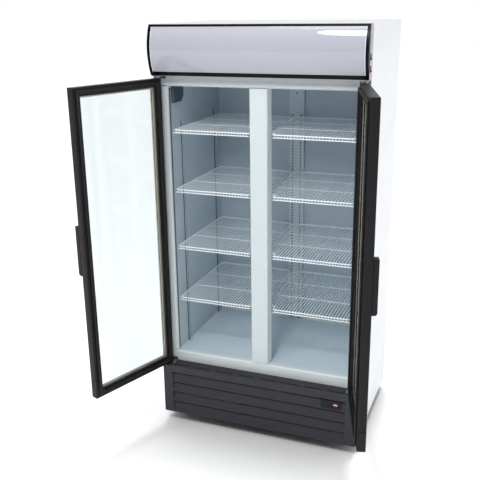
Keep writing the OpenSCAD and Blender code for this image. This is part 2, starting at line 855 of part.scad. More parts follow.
// Front sheet, ledge, cheeks and slanted louvres, cut for the controller and the hinges
module grille_panel() {
    y0 = -grille_d;
    color("#38363c") at_front() difference() {
        union() {
            across(cabinet_w) difference() {
                translate([y0, floor_gap])
                    rounded(grille_d, deck_z - floor_gap, [0, 0, 0, ledge_r]);
                translate([y0 + grille_t, floor_gap - 1])
                    rounded(grille_d, deck_z - floor_gap - grille_t + 1,
                            [0, 0, 0, ledge_r - grille_t]);
            }
            both_sides()
                block([half_w - grille_t, y0 + ledge_r, floor_gap],
                      [half_w, 0, deck_z - grille_t / 2]);
            both_sides()
                block([half_w - grille_t, y0 + grille_t / 2, floor_gap],
                      [half_w, y0 + ledge_r, deck_z - ledge_r]);
            block([-half_w, y0 + grille_t / 2, floor_gap],
                  [half_w, y0 + 16, floor_gap + grille_t]);
        }
        difference() {
            block([-louvre_x, y0 - 1, louvre_z0], [louvre_x, y0 + grille_t + 1, louvre_z1]);
            across(2 * louvre_x + 2)
                for (i = [0 : louvre_count - 1]) louvre(louvre_z0 + i * louvre_pitch);
        }
        for (i = [0 : ledge_slots - 1])
            translate([(i - (ledge_slots - 1) / 2) * ledge_pitch - ledge_slot / 2,
                       y0 + ledge_r + 3, deck_z - grille_t - 1])
                cube([ledge_slot, ledge_slot_w, grille_t + 2]);
        block([control_x - control_case[0] / 2 - fit, y0 - 1, control_z - control_case[2] / 2 - fit],
              [control_x + control_case[0] / 2 + fit, y0 + 30,
               control_z + control_case[2] / 2 + fit]);
        both_sides() for (p = screw_spots)
            translate([p[0], y0 - 1, p[1]]) rotate([-90, 0, 0])
                cylinder(h = grille_t + 2, r = screw_hole, $fn = 24);
    }
    color("#38363c") at_front() {
        louvres_behind();
        both_sides()
            block([louvre_x, y0 + grille_t / 2, louvre_z0 - 1],
                  [louvre_x + 2, y0 + louvre_lean + 2, louvre_z1 + 1]);
    }
}

// One slanted blade as an outline
module louvre(z) {
    y0 = -grille_d;
    polygon([[y0, z], [y0 + grille_t, z], [y0 + louvre_lean, z + louvre_pitch - louvre_gap],
             [y0 + louvre_lean - grille_t, z + louvre_pitch - louvre_gap]]);
}

// The blades, welded to the end bands, left out where the controller sits
module louvres_behind() {
    difference() {
        across(2 * louvre_x + 2)
            for (i = [0 : louvre_count - 1]) louvre(louvre_z0 + i * louvre_pitch);
        block([control_x - control_case[0] / 2 - fit, -grille_d - 1,
               control_z - control_case[2] / 2 - fit],
              [control_x + control_case[0] / 2 + fit, 0, control_z + control_case[2] / 2 + fit]);
    }
}

// Pan-head screws at the ends of the grille, in the hinge brackets and in the rear channel
module panel_screws() {
    color("darkslategray") at_front() {
        both_sides() for (p = screw_spots)
            translate([p[0], -grille_d, p[1]]) rotate([-90, 0, 0]) pan_screw();
        bracket_screws() pan_screw();
        rail_screw() pan_screw();
    }
}

// A screw along +Z with its head in front of the plane it is driven into
module pan_screw() {
    translate([0, 0, -2]) cylinder(h = 2, r = 4, $fn = 24);
    translate([0, 0, -0.5]) cylinder(h = 12, r = screw_hole - fit, $fn = 24);
}

// Temperature controller: bezel, case behind it and a sunken display window
module controller() {
    y0 = -grille_d;
    color("black") at_front() translate([control_x, y0, control_z]) difference() {
        union() {
            translate([-control_w / 2, -4, -control_h / 2]) cube([control_w, 4, control_h]);
            translate([-control_case[0] / 2, -0.5, -control_case[2] / 2])
                cube([control_case[0], control_case[1], control_case[2]]);
        }
        translate([control_w * 0.06, -5, -control_h * 0.28])
            cube([control_w * 0.34, 2.2, control_h * 0.56]);
    }
}

// Machinery in the base

// Hermetic compressor: domed shell, base plate, terminal cover and stubs
module compressor() {
    color("#202124") at_front() translate([comp[0], comp[1], comp_z]) {
        intersection() {
            translate([0, 0, comp_h - 1.4 * shell_r]) sphere(r = 1.4 * shell_r, $fn = 64);
            translate([0, 0, 60]) cylinder(h = comp_h, r = shell_r, $fn = 64);
        }
        translate([0, 0, 10]) cylinder(h = 60, r = shell_r, $fn = 64);
        translate([0, 0, 64]) cylinder(h = 8, r = shell_r + 4, $fn = 64);
        translate([0, 0, -4]) cylinder(h = 16, r = shell_r - 14, $fn = 64);
        difference() {
            translate([-shell_r - 8, -shell_r + 10, -6]) cube([2 * shell_r + 16, 2 * shell_r - 20, 3]);
            for (x = [-1, 1], y = [-1, 1])
                translate([x * (shell_r - 4), y * (shell_r - 24), -8])
                    cylinder(h = 8, r = 6, $fn = 24);
        }
        translate([shell_r - 12, -32, 40]) cube([34, 64, 62]);
    }
}

// Rubber mounts on their bolts
module compressor_mounts() {
    color("#1a1a1a") at_front()
        for (x = [-1, 1], y = [-1, 1])
            translate([comp[0] + x * (shell_r - 4), comp[1] + y * (shell_r - 24), pan_z]) {
                cylinder(h = comp_z - 6 - pan_z, r = 14, $fn = 32);
                cylinder(h = comp_z + 4 - pan_z, r = 5.5, $fn = 24);
                translate([0, 0, comp_z - 3 - pan_z + fit]) cylinder(h = 5, r = 10, $fn = 32);
            }
}

// Finned coil: end plates, fins and tubes
module coil(w, d, h, fins, rows, tubes) {
    for (i = [0 : fins])
        translate([i * (w - 1) / fins, 0, 0]) cube([1, d, h]);
    for (i = [0 : rows - 1], j = [0 : tubes - 1])
        translate([-tube_end, d * (i + 0.5) / rows, h * (j + 0.5) / tubes])
            rotate([0, 90, 0]) cylinder(h = w + 2 * tube_end, r = 4.5, $fn = 16);
}

module condenser_coil() {
    color("darkgray") at_front()
        translate([cond_x0, cond_y, pan_z])
            coil(cond_w, cond_d, cond_z1 - pan_z, 24, cond_rows, cond_passes);
}

// Sheet with a round opening and a collar, behind the coil
module condenser_shroud() {
    y = cond_y + cond_d + fit;
    r = cond_fan_r + 4;
    color("dimgray") at_front() {
        difference() {
            union() {
                block([cond_x0, y, pan_z], [cond_x0 + cond_w, y + 1.5, cond_z1]);
                translate([cond_fan[0], y, cond_fan[2]]) rotate([-90, 0, 0])
                    cylinder(h = 40, r = r + 1.5, $fn = 64);
            }
            translate([cond_fan[0], y - 1, cond_fan[2]]) rotate([-90, 0, 0])
                cylinder(h = 50, r = r, $fn = 64);
        }
    }
}

// A fan wheel along +Z: a bored hub and five pitched blades
module fan_wheel(r) {
    hub_r = 26;
    depth = 20;
    difference() {
        union() {
            cylinder(h = depth, r = hub_r, $fn = 48);
            intersection() {
                cylinder(h = depth, r = r, $fn = 64);
                for (k = [0 : 4])
                    rotate([0, 0, k * 72]) translate([hub_r - 3, 0, depth / 2]) rotate([26, 0, 0])
                        translate([0, -24, -1]) cube([r, 48, 2]);
            }
        }
        translate([0, 0, -1]) cylinder(h = depth + 2, r = shaft_d / 2 + pin_clear, $fn = 24);
    }
}

// A motor behind a fan wheel, on three arms that end in posts towards -Z
module fan_motor(r, post) {
    translate([0, 0, 22]) cylinder(h = motor_h, r = motor_r, $fn = 48);
    translate([0, 0, 1]) cylinder(h = 25, r = shaft_d / 2, $fn = 24);
    for (k = [0 : 2]) rotate([0, 0, k * 120 + 90]) {
        translate([motor_r - 6, -5, 22 + motor_h - 4]) cube([r + 6 - motor_r + 6, 10, 3]);
        translate([r + 2, -4, -post]) cube([4, 8, 22 + motor_h - 1.5 + post]);
    }
}

module condenser_fan() {
    color("#2b2b2b") at_front() translate(cond_fan) rotate([-90, 0, 0])
        translate([0, 0, -10]) fan_wheel(cond_fan_r);
}

module evaporator_fan_at(x) {
    color("#2b2b2b") at_front()
        translate([x, evap_fan[1], evap_fan[2] - 10]) fan_wheel(evap_fan_r);
}

module evaporator_fan_left() { evaporator_fan_at(-evap_fan[0]); }
module evaporator_fan_right() { evaporator_fan_at(evap_fan[0]); }

// Three motors: one behind the condenser fan and one over each evaporator fan
module fan_motors() {
    color("#555555") at_front() {
        both_sides() translate([evap_fan[0], evap_fan[1], evap_fan[2] - 10])
            fan_motor(evap_fan_r + 8, evap_fan[2] - 10 - cover_z - cover_t);
        translate(cond_fan) rotate([-90, 0, 0]) translate([0, 0, -10])
            fan_motor(cond_fan_r + 4, cond_fan[1] - 10 - cond_y - cond_d - 1.5 - fit);
    }
}

// Filter drier in the liquid line: a copper cartridge with swaged ends
module filter_drier() {
    swage = 14;
    r = 11;
    color("#b87333") at_front()
        translate([drier[0], drier[1], cond_pass_z(0)]) rotate([-90, 0, 0]) {
            translate([0, 0, swage]) cylinder(h = drier_l - 2 * swage, r = r, $fn = 32);
            cylinder(h = swage, r1 = 4, r2 = r, $fn = 32);
            translate([0, 0, drier_l - swage]) cylinder(h = swage, r1 = r, r2 = 3, $fn = 32);
        }
}

// Discharge, liquid, capillary and suction lines
module refrigerant_lines() {
    coil_x = cond_x0 + cond_w + tube_end + fit;
    evap_x = evap_w / 2 + tube_end + fit;
    low = cond_pass_z(0);
    tall = cond_pass_z(cond_passes - 1);
    comp_x = comp[0] - shell_r - fit;
    run_z = comp_z + 40;
    cap_y = drier[1] + drier_l;
    roof = deck_z - 12;
    back = comp[1] + shell_r + 60;
    color("#b87333") at_front() {
        tube([[comp_x, comp[1], run_z], [comp_x - 60, comp[1], run_z],
              [comp_x - 60, cond_line_y, run_z], [comp_x - 60, cond_line_y, tall],
              [coil_x, cond_line_y, tall]], 8);
        tube([[coil_x, cond_line_y, low], [drier[0], cond_line_y, low],
              [drier[0], drier[1] - fit, low]], 8);
        tube([[drier[0], cap_y + fit, low], [drier[0], cap_y + 50, low],
              [capillary[0], cap_y + 50, low], [capillary[0], line_y, low],
              [capillary[0], line_y, capillary[1]], [capillary[0], coil_line_y, capillary[1]],
              [evap_x, coil_line_y, capillary[1]]], 5);
        tube([[comp[0], comp[1], comp_z + comp_h + fit], [comp[0], comp[1], roof],
              [comp[0], back, roof], [suction[0], back, roof], [suction[0], line_y, roof],
              [suction[0], line_y, suction[1]], [suction[0], coil_line_y, suction[1]],
              [evap_x, coil_line_y, suction[1]]], 10);
    }
}

// Cooling unit under the ceiling

// False ceiling with two guarded fan openings and a slot for the return air
module evaporator_cover() {
    x = liner_x - seam;
    color("white") at_front() {
        difference() {
            block([-x, strip_d + seam, cover_z], [x, liner_y - seam, cover_z + cover_t]);
            both_sides() translate([evap_fan[0], evap_fan[1], cover_z - 1])
                linear_extrude(height = cover_t + 2) guard_openings();
            for (i = [-9 : 9])
                translate([i * 36 - 13, liner_y - 40, cover_z - 1]) if (abs(i) > 1)
                    cube([26, 16, cover_t + 2]);
            line_holes(cover_z - 1, cover_z + cover_t + 1);
        }
    }
}

// Rings between the guard's hoops, crossed by four spokes
module guard_openings() {
    for (k = [0 : 3]) difference() {
        circle(r = 36 + k * (evap_fan_r - 34) / 3.5 + 12, $fn = 64);
        circle(r = 36 + k * (evap_fan_r - 34) / 3.5, $fn = 64);
        for (a = [0, 90]) rotate(a) square([4 * evap_fan_r, 5], center = true);
    }
}

// Coil that cools the air
module evaporator_coil() {
    color("lightgray") at_front() translate([-evap_w / 2, coil_y, coil_z])
        coil(evap_w, coil_d, coil_h, 30, coil_rows, coil_passes);
}

// A tray's side: an upright sheet and a lip at its top that runs inwards along the given direction
module side_lip(low, high, wall, inward) {
    from = [for (i = [0, 1]) low[i] + (inward[i] == 0 ? -1 : inward[i] * wall)];
    to = [for (i = [0, 1]) high[i] + (inward[i] == 0 ? 1 : inward[i] * wall)];
    difference() {
        block(low, high);
        block([from[0], from[1], low[2] - 1], [to[0], to[1], high[2] - 3 + fit]);
    }
}

// Tray under the coil, and its tube down inside the rear channel to the pan in the base
module drain_tray() {
    wall = 2;
    x = evap_w / 2;
    z0 = cover_z + cover_t;
    z1 = z0 + wall + seam;
    z2 = coil_z - fit;
    x1 = x + tray_lip;
    y0 = coil_y - tray_lip;
    y1 = drain_y + drain_d / 2;
    low = pan_z + 26;
    color("silver") at_front() {
        difference() {
            block([-x1, y0, z0], [x1, y1, z0 + wall]);
            translate([drain_x, drain_y, z0 - 1]) cylinder(h = wall + 2, r = drain_d / 2 - 1.5);
        }
        // Sides with an inward lip in front and at both ends, and a plain one behind
        side_lip([-x1, y0, z1], [x1, y0 + tray_lip + 4, z2], wall, [0, 1]);
        side_lip([x - 2, y0 + tray_lip + 4 + seam, z1], [x1, y1 - wall - seam, z2], wall, [-1, 0]);
        mirror([1, 0, 0])
            side_lip([x - 2, y0 + tray_lip + 4 + seam, z1], [x1, y1 - wall - seam, z2], wall,
                     [-1, 0]);
        block([-x1, y1 - wall, z1], [x1, y1, z2]);
        translate([drain_x, drain_y, low]) difference() {
            cylinder(h = z0 - fit - low, r = drain_d / 2);
            translate([0, 0, -1]) cylinder(h = z0 - low + 8, r = drain_d / 2 - 1.5);
        }
    }
}

module drip_pan() {
    wall = 2;
    lo = [-190, 470, pan_z];
    hi = [80, cabinet_d - 20, pan_z + 46];
    color("#3a3a3a") at_front() difference() {
        block(lo, hi);
        block(lo + [wall, wall, wall], hi + [-wall, -wall, 1]);
    }
}

// Sheet with rows of slots that closes the machine compartment behind
module rear_grille() {
    x = half_w - 15 - fit;
    rows = 9;
    color("dimgray") at_front() difference() {
        block([-x, cabinet_d - sheet_t, floor_gap + 2], [x, cabinet_d, deck_z]);
        for (i = [0 : 3], j = [0 : rows - 1])
            block([-250 + i * 180, cabinet_d - 5, floor_gap + 50 + j * 20],
                  [-250 + i * 180 + 150, cabinet_d + 1, floor_gap + 58 + j * 20]);
        block([inlet[0] - 24, cabinet_d - 5, inlet[1] - 14],
              [inlet[0] + 24, cabinet_d + 1, inlet[1] + 14]);
    }
}

// Appliance inlet with three blades in its well
module mains_inlet() {
    color("black") at_front() translate([inlet[0], cabinet_d, inlet[1]]) {
        difference() {
            union() {
                translate([-27, 0, -17]) cube([54, 2.5, 34]);
                translate([-23.5, -26, -13.5]) cube([47, 27, 27]);
            }
            translate([-13, -16, -9]) cube([26, 20, 18]);
        }
        for (p = [[-7, -3], [0, 4], [7, -3]])
            translate([p[0] - 1, -18, p[1] - 2]) cube([2, 14, 4]);
    }
}

// A foot: pad, threaded stem and lock nut under the pan
module levelling_feet() {
    color("#2a2a2a") at_front() both_sides() for (p = foot_spots)
        translate([p[0], p[1], 0]) {
            cylinder(h = 10, r = foot_r, $fn = 48);
            cylinder(h = floor_gap + pan_t - fit, r = 5);
            translate([0, 0, floor_gap - 8]) cylinder(h = 8 - fit, r = 10, $fn = 6);
        }
}

// Angle brackets with the hinge pins, screwed to the beam and the sill
module hinge_brackets() {
    x0 = bracket_x0;
    x1 = half_w - 2.5;
    y1 = -closed_gap;
    low = deck_z + fit;
    low_t = door_foot_gap - 1 - fit;
    high = header_z - bracket_t - fit;
    collar = pin_d / 2 + 4;
    color("silver") at_front() both_sides() {
        difference() {
            union() {
                block([x0, -header_d, low], [x1, y1, low + low_t]);
                block([x0, -bracket_t, low], [x1, y1, low + low_t + bracket_h]);
                translate([hinge_x, hinge_y, low]) cylinder(h = door_foot_gap + 18, d = pin_d);
                translate([hinge_x, hinge_y, low])
                    cylinder(h = door_foot_gap - fit - closed_gap, r = collar);
            }
            bracket_screws() translate([0, 0, -1]) cylinder(h = 8, r = screw_hole, $fn = 24);
        }
        difference() {
            union() {
                block([x0, -header_d, high], [x1, y1, high + bracket_t]);
                block([x0, -bracket_t, high - bracket_h], [x1, y1, high + bracket_t]);
                translate([hinge_x, hinge_y, door_z1 - 18])
                    cylinder(h = high + 1 - door_z1 + 18, d = pin_d);
                translate([hinge_x, hinge_y, door_z1 + closed_gap])
                    cylinder(h = high + 1 - door_z1 - closed_gap, r = collar);
            }
            bracket_screws() translate([0, 0, -1]) cylinder(h = 8, r = screw_hole, $fn = 24);
        }
    }
}

// The screws through the brackets' upright legs, seen from the front
module bracket_screws() {
    both_sides()
        for (x = [bracket_x0 + 9, bracket_x0 + 23],
             z = [deck_z + door_foot_gap - 1 + bracket_h / 2, header_z - bracket_t - fit - bracket_h / 2])
            translate([x, -bracket_t, z]) rotate([-90, 0, 0]) children();
}

// Doors, drawn closed and flat: X from the hinged edge, Y from the foot, Z forwards

// A frame bar of a given length along X, its outer edge on Y = 0, mitred at both ends
module mitred_bar(l) {
    intersection() {
        translate([0, 0, gasket_t]) rotate([90, 0, 90]) linear_extrude(height = l)
            difference() {
                rounded(bar_w, bar_t, [2, 2, 4, 4]);
                translate([bar_w - groove_d, (bar_t - groove_w) / 2 - fit])
                    square([groove_d + 1, groove_w + 2 * fit]);
            }
        linear_extrude(height = 2 * (gasket_t + bar_t))
            polygon([[seam, 0], [l - seam, 0], [l - bar_w - seam, bar_w], [bar_w + seam, bar_w]]);
    }
}

// Four mitred bars, bored for the hinge pins
module door_frame() {
    color("#2f2d33") difference() {
        union() {
            mitred_bar(door_w);
            translate([door_w, door_h, 0]) rotate([0, 0, 180]) mitred_bar(door_w);
            translate([door_w, 0, 0]) rotate([0, 0, 90]) mitred_bar(door_h);
            translate([0, door_h, 0]) rotate([0, 0, -90]) mitred_bar(door_h);
        }
        for (y = [-1, door_h - bore_h])
            translate([hinge_edge, y, -hinge_y]) rotate([-90, 0, 0])
                cylinder(h = bore_h + 1, r = pin_d / 2 + pin_clear);
    }
}

// Outer and inner pane
module door_glass() {
    a = glass_inset;
    color("lightcyan", 0.35) {
        block([a, a, glass_front - pane_t], [door_w - a, door_h - a, glass_front]);
        block([a, a, glass_back], [door_w - a, door_h - a, glass_back + pane_t]);
    }
}

// Aluminium spacer round the edge of the panes
module door_spacer() {
    a = glass_inset + 2;
    b = glass_inset + spacer_h;
    z0 = glass_back + pane_t;
    z1 = glass_front - pane_t;
    color("tan") difference() {
        block([a, a, z0], [door_w - a, door_h - a, z1]);
        block([b, b, z0 - 1], [door_w - b, door_h - b, z1 + 1]);
    }
}

// Soft magnetic seal on the door's back
module door_gasket() {
    a = gasket_inset;
    b = gasket_inset + gasket_w;
    color("#1b1b1d") difference() {
        block([a, a, closed_gap], [door_w - a, door_h - a, gasket_t]);
        block([b, b, -1], [door_w - b, door_h - b, gasket_t + 1]);
    }
}

// Vertical pull along the free edge: a channel open towards the middle of the door
module door_pull() {
    z0 = gasket_t + bar_t;
    color("#2a282d") translate([door_w - pull_w, pull_z - door_z0 - pull_h / 2, z0])
        difference() {
            rotate([90, 0, 90]) linear_extrude(height = pull_w)
                rounded(pull_h, pull_d, [0, 0, 5, 12]);
            translate([-1, pull_wall, pull_sheet])
                cube([pull_w - pull_wall + 1, pull_h - 2 * pull_wall, pull_d - 2 * pull_sheet]);
        }
}

module door_frame_left() { hang_left() door_frame(); }
module door_glass_left() { hang_left() door_glass(); }
module door_spacer_left() { hang_left() door_spacer(); }
module door_gasket_left() { hang_left() door_gasket(); }
module door_pull_left() { hang_left() door_pull(); }
module door_frame_right() { hang_right() door_frame(); }
module door_glass_right() { hang_right() door_glass(); }
module door_spacer_right() { hang_right() door_spacer(); }
module door_gasket_right() { hang_right() door_gasket(); }
module door_pull_right() { hang_right() door_pull(); }

side_panel_left();
side_panel_right();
rear_panel();
top_panel();
base_frame();
insulation();
inner_liner();
front_frame();
mullion();
light_strips();
lamp_driver_box();
wall_channels();
centre_channels();
shelf_clips();
shelf_1_left();
shelf_1_right();
shelf_2_left();
shelf_2_right();
shelf_3_left();
shelf_3_right();
shelf_4_left();
shelf_4_right();
header_box();
header_trim();
header_panel();
header_lamp();
switch_housings();
rocker_upper();
rocker_lower();
grille_panel();
panel_screws();
controller();
compressor();
compressor_mounts();
condenser_coil();
condenser_shroud();
condenser_fan();
fan_motors();
filter_drier();
refrigerant_lines();
evaporator_cover();
evaporator_coil();
evaporator_fan_left();
evaporator_fan_right();
drip_pan();
drain_tray();
rear_grille();
mains_inlet();
hinge_brackets();
levelling_feet();
door_frame_left();
door_glass_left();
door_spacer_left();
door_gasket_left();
door_pull_left();
door_frame_right();
door_glass_right();
door_spacer_right();
door_gasket_right();
door_pull_right();
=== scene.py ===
"""Looks of an upright display refrigerator with two glass doors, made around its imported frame.

Lengths are in metres. X runs across the cabinet, Y from its front to its back, Z up from the floor.
"""
import json
import math

import bmesh
import bpy
import numpy as np
from bpy.props import FloatProperty, FloatVectorProperty, IntProperty, PointerProperty
from mathutils import Matrix, Vector


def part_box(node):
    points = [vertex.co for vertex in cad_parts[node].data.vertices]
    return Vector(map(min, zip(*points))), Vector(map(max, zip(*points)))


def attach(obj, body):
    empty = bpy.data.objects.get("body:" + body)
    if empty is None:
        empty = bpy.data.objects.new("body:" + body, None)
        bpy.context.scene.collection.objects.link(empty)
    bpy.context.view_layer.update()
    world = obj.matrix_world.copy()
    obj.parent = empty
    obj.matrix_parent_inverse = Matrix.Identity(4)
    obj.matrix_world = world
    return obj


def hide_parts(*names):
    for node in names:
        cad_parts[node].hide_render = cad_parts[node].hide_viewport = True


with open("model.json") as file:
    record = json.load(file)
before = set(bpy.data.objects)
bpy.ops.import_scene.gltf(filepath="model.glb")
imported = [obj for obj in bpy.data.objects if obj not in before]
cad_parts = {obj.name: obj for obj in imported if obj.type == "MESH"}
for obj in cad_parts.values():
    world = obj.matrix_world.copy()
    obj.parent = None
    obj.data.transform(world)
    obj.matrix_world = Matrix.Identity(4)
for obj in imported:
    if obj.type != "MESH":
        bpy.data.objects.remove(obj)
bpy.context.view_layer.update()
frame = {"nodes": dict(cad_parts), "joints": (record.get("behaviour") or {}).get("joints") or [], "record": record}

bl_info = {
    "name": "Display Refrigerator",
    "version": (1, 0, 0),
    "blender": (4, 5, 0),
    "location": "View3D > Sidebar > Refrigerator",
    "description": "Adds wire shelves, doors, seals, a header panel and finishes to a refrigerator's frame",
    "category": "Object",
}

CABINET = "cabinet"
LEVELS = (1, 2, 3, 4)
SLOT_OF = {part["node"]: part["material_slot"] for part in frame["record"]["subparts"]}

# Points nearer than this are one point
MERGE = 1e-5
# Channels of one node lie further apart than this
CHANNEL_GAP = 0.03
# A point this near a face still belongs to it
FACE = 0.0003
# Noise mostly lies between these shares
NOISE_LOW, NOISE_HIGH = 0.3, 0.7
# The painted shade in a hollow starts this far behind its face
BEHIND = 0.0004
# Thickness of the liner's sheet, and a depth that is past it
SHEET = 0.0015
PAST_SHEET = 0.002
# Edges that are shorter than this stay sharp on large sheets
LONG_EDGE = 0.04
# Edges sharper than this aren't shaded over
SHARP = math.radians(35)
# Long edges sharper than this are rounded
FOLD = math.radians(40)
# Faces that meet flatter than this are joined
FLAT = math.radians(0.3)
# Width of the camera's sensor in millimetres, and how far the camera sees
SENSOR = 36.0
SIGHT = 200.0


# What a user can change


def screen(red, green, blue):
    """Linear colour of a screen colour whose three shares run to 255: the sRGB curve undone."""
    shares = np.array([red, green, blue]) / 255
    curve = np.where(shares <= 0.04045, shares / 12.92, ((shares + 0.055) / 1.055) ** 2.4)
    return tuple(float(x) for x in curve)


def number(name, description, default, least=0.0, **form):
    """A number that a user can change."""
    return FloatProperty(name=name, description=description, default=default, min=least, **form)


def length(name, description, default):
    """A length in metres."""
    return number(name, description, default, precision=4, subtype="DISTANCE", unit="LENGTH")


def portion(name, description, default):
    """A share between nothing and the whole."""
    return number(name, description, default, max=1.0, subtype="FACTOR")


def power(name, description, default):
    """A lamp's power in watts."""
    return number(name, description, default, subtype="POWER", unit="POWER")


def rotation(name, description, degrees):
    """An angle, given in degrees."""
    return number(name, description, math.radians(degrees), -math.pi, subtype="ANGLE",
                  unit="ROTATION")


def whole(name, description, default, least):
    """A whole number."""
    return IntProperty(name=name, description=description, default=default, min=least)


def triple(name, description, default, subtype, **form):
    """Three numbers that belong together."""
    return FloatVectorProperty(name=name, description=description, default=default, size=3,
                               subtype=subtype, **form)


def spot(name, description, default):
    """A place in the scene."""
    return triple(name, description, default, "TRANSLATION", unit="LENGTH")


def direction(name, description, default):
    """A direction, of any length."""
    return triple(name, description, default, "DIRECTION")


def colour(name, description, default):
    """A linear colour."""
    return triple(name, description, default, "COLOR", min=0.0, max=1.0)


class CameraSizes(bpy.types.PropertyGroup):
    """Where the camera stands and how it looks."""

    place: spot("Place", "Where the camera stands", (1.1195, -3.1669, 2.0733))
    lens: number("Lens", "Focal length in millimetres on a 36 mm sensor", 55.25, 10.0)
    turn: rotation("Turn", "Turn to the left of the Y axis", 21.467)
    tilt: rotation("Tilt", "Tilt below the horizon", 17.723)
    roll: rotation("Roll", "Roll about the line of sight", -0.824)


class StageSizes(bpy.types.PropertyGroup):
    """Floor, surroundings and lamps."""

    floor_size: length("Floor size", "Length of the floor's sides", 60.0)
    floor_tone: colour("Floor", "Colour of the floor", screen(250, 250, 250))
    sky_tone: colour("Surroundings", "Colour of the surroundings", (1.0, 1.0, 1.0))
    sky_back: number("Behind", "Brightness behind the refrigerator", 1.0)
    sky_front: number("In front", "Brightness in front of it", 0.14)
    sky_blend: number("Blend", "How far to either side the two brightnesses run together", 0.25)
    sun_power: number("Overhead", "Strength of the wide light overhead", 1.75)
    sun_width: rotation("Width", "Angle across that light", 18.0)
    sun_aim: direction("Aim", "Where that light travels", (-0.02, -0.17, -1.0))
    fill_power: number("Fill", "Strength of the light from high in front", 0.78)
    fill_width: rotation("Fill width", "Angle across that light", 30.0)
    fill_aim: direction("Fill aim", "Where that light travels", (0.12, 0.5, -0.8))
    key_power: power("Key lamp", "Power of the lamp high in front", 52.0)
    key_place: spot("Key place", "Where the key lamp hangs", (0.17, -2.53, 3.62))
    key_target: spot("Key target", "What the key lamp points at", (0.49, -0.14, 1.96))
    key_width: length("Key width", "Width of the key lamp's oval", 0.75)
    key_height: length("Key height", "Height of the key lamp's oval", 0.5)
    side_power: power("Side lamp", "Power of the lamp on the right", 8.0)
    side_place: spot("Side place", "Where the side lamp hangs", (4.0, 0.6, 2.4))
    side_target: spot("Side target", "What the side lamp points at", (0.4, 0.3, 1.0))
    side_width: length("Side width", "Length of the side lamp's sides", 2.5)


class Tones(bpy.types.PropertyGroup):
    """Colours of what is seen most."""

    panels: colour("Panels", "Outer sheets", screen(230, 234, 239))
    liner: colour("Liner", "Foot of the liner's walls", screen(206, 220, 228))
    strips: colour("Front strips", "Foot of the frame round the openings", screen(228, 236, 238))
    post: colour("Post", "Front of the centre post", screen(212, 222, 225))
    channels: colour("Channels", "Shelf channels", screen(190, 205, 214))
    wires: colour("Wires", "Wire shelves", screen(244, 252, 255))
    opal: colour("Header", "Curved header panel", screen(178, 180, 191))
    # Painted highlight at the ends of the header panel
    opal_edge: colour("Header's edge", "Ends of that panel, where light leaves it", (0.9, 0.92, 0.97))
    trim: colour("Header rim", "Rim round the header panel", screen(6, 6, 8))
    rockers: colour("Switches", "Rockers of the switches", screen(176, 10, 20))
    grille: colour("Grille", "Louvred grille and ledge", screen(52, 51, 59))
    doors: colour("Doors", "Door frames and pulls", screen(22, 20, 22))
    glass: colour("Glass", "Tint of a pane", (0.933, 0.948, 0.951))


class DoorSizes(bpy.types.PropertyGroup):
    """Sizes of the door bars, seals and pulls."""

    bar_width: length("Bar width", "Face width of the frame bars", 0.038)
    glass_groove: length("Glass groove", "Depth of the groove that holds the panes", 0.010)
    groove_width: length("Groove width", "Width of that groove", 0.0204)
    back_radius: length("Back radius", "Radius of the bars' back edges", 0.002)
    front_radius: length("Front radius", "Radius of the bars' front edges", 0.004)
    seam: length("Seam", "Half the gap at each mitre", 0.0003)
    bead_line: length("Bead line", "Distance of the bead's line from the bar's inner edge", 0.009)
    bead_nick: length("Bead nick", "Width and depth of the nick along the bead's line", 0.0008)
    cap: length("End cap", "Height of the cap at the foot of the free edge", 0.093)
    cap_line: length("Cap line", "Depth of the line over the cap", 0.0022)
    cap_reach: length("Cap reach", "How far in from the door's edge that line goes", 0.03)
    seal_width: length("Seal width", "Width of the magnetic seal", 0.016)
    line_share: portion("Spacer line", "Share of the spacer's width that its dark line takes", 0.4)
    line_root: length("Line root", "Depth of that line in the spacer", 0.0001)
    line_proud: length("Line height", "Height of that line over the spacer", 0.0002)
    pull_round: length("Pull rounding", "Rounding of the pulls' edges", 0.0014)
    pull_edge: length("Pull edge", "Shortest edge of a pull that is rounded", 0.003)


class ShelfSizes(bpy.types.PropertyGroup):
    """Sizes of the wire shelves."""

    frame_rod: length("Frame rod", "Diameter of the frame rod", 0.006)
    deck_wire: length("Deck wire", "Diameter of the deck wires", 0.004)
    cross_wire: length("Cross wire", "Diameter of the two cross wires", 0.004)
    low_rail: length("Low rail", "Diameter of the lower front rail", 0.005)
    pitch: length("Pitch", "Pitch of the deck wires", 0.0144)
    weld: length("Weld", "Depth that crossing wires share", 0.0016)
    post_gap: length("Post gap", "Distance from the cabinet's middle to the front's inner end", 0.058)
    post_depth: length("Post depth", "Distance from the shelf's front to the notch's rod", 0.041)
    inner_cut: length("Inner cut", "Cut of the inner rear corner", 0.028)
    outer_cut: length("Outer cut", "Cut of the outer rear corner", 0.014)
    front_bend: length("Front bend", "Radius of the bend at the outer front corner", 0.012)
    wire_bend: length("Wire bend", "Radius of the deck wires' front bend", 0.003)
    rod_sides: whole("Rod sides", "Sides of the frame rods", 12, 6)
    wire_sides: whole("Wire sides", "Sides of the wires", 8, 5)


class HeaderSizes(bpy.types.PropertyGroup):
    """Sizes of the curved panel."""

    panel: length("Panel", "Thickness of the panel", 0.003)
    set_back: length("Set back", "Step from the rim's face to the panel's", 0.0005)
    soften: length("Softening", "Chamfer at the panel's ends", 0.0004)
    # The pale edge is a painted highlight
    edge_glow: length("Pale edge", "Width of the pale edge at the panel's ends", 0.0022)
    steps: whole("Steps", "Steps round the panel's curve", 48, 8)


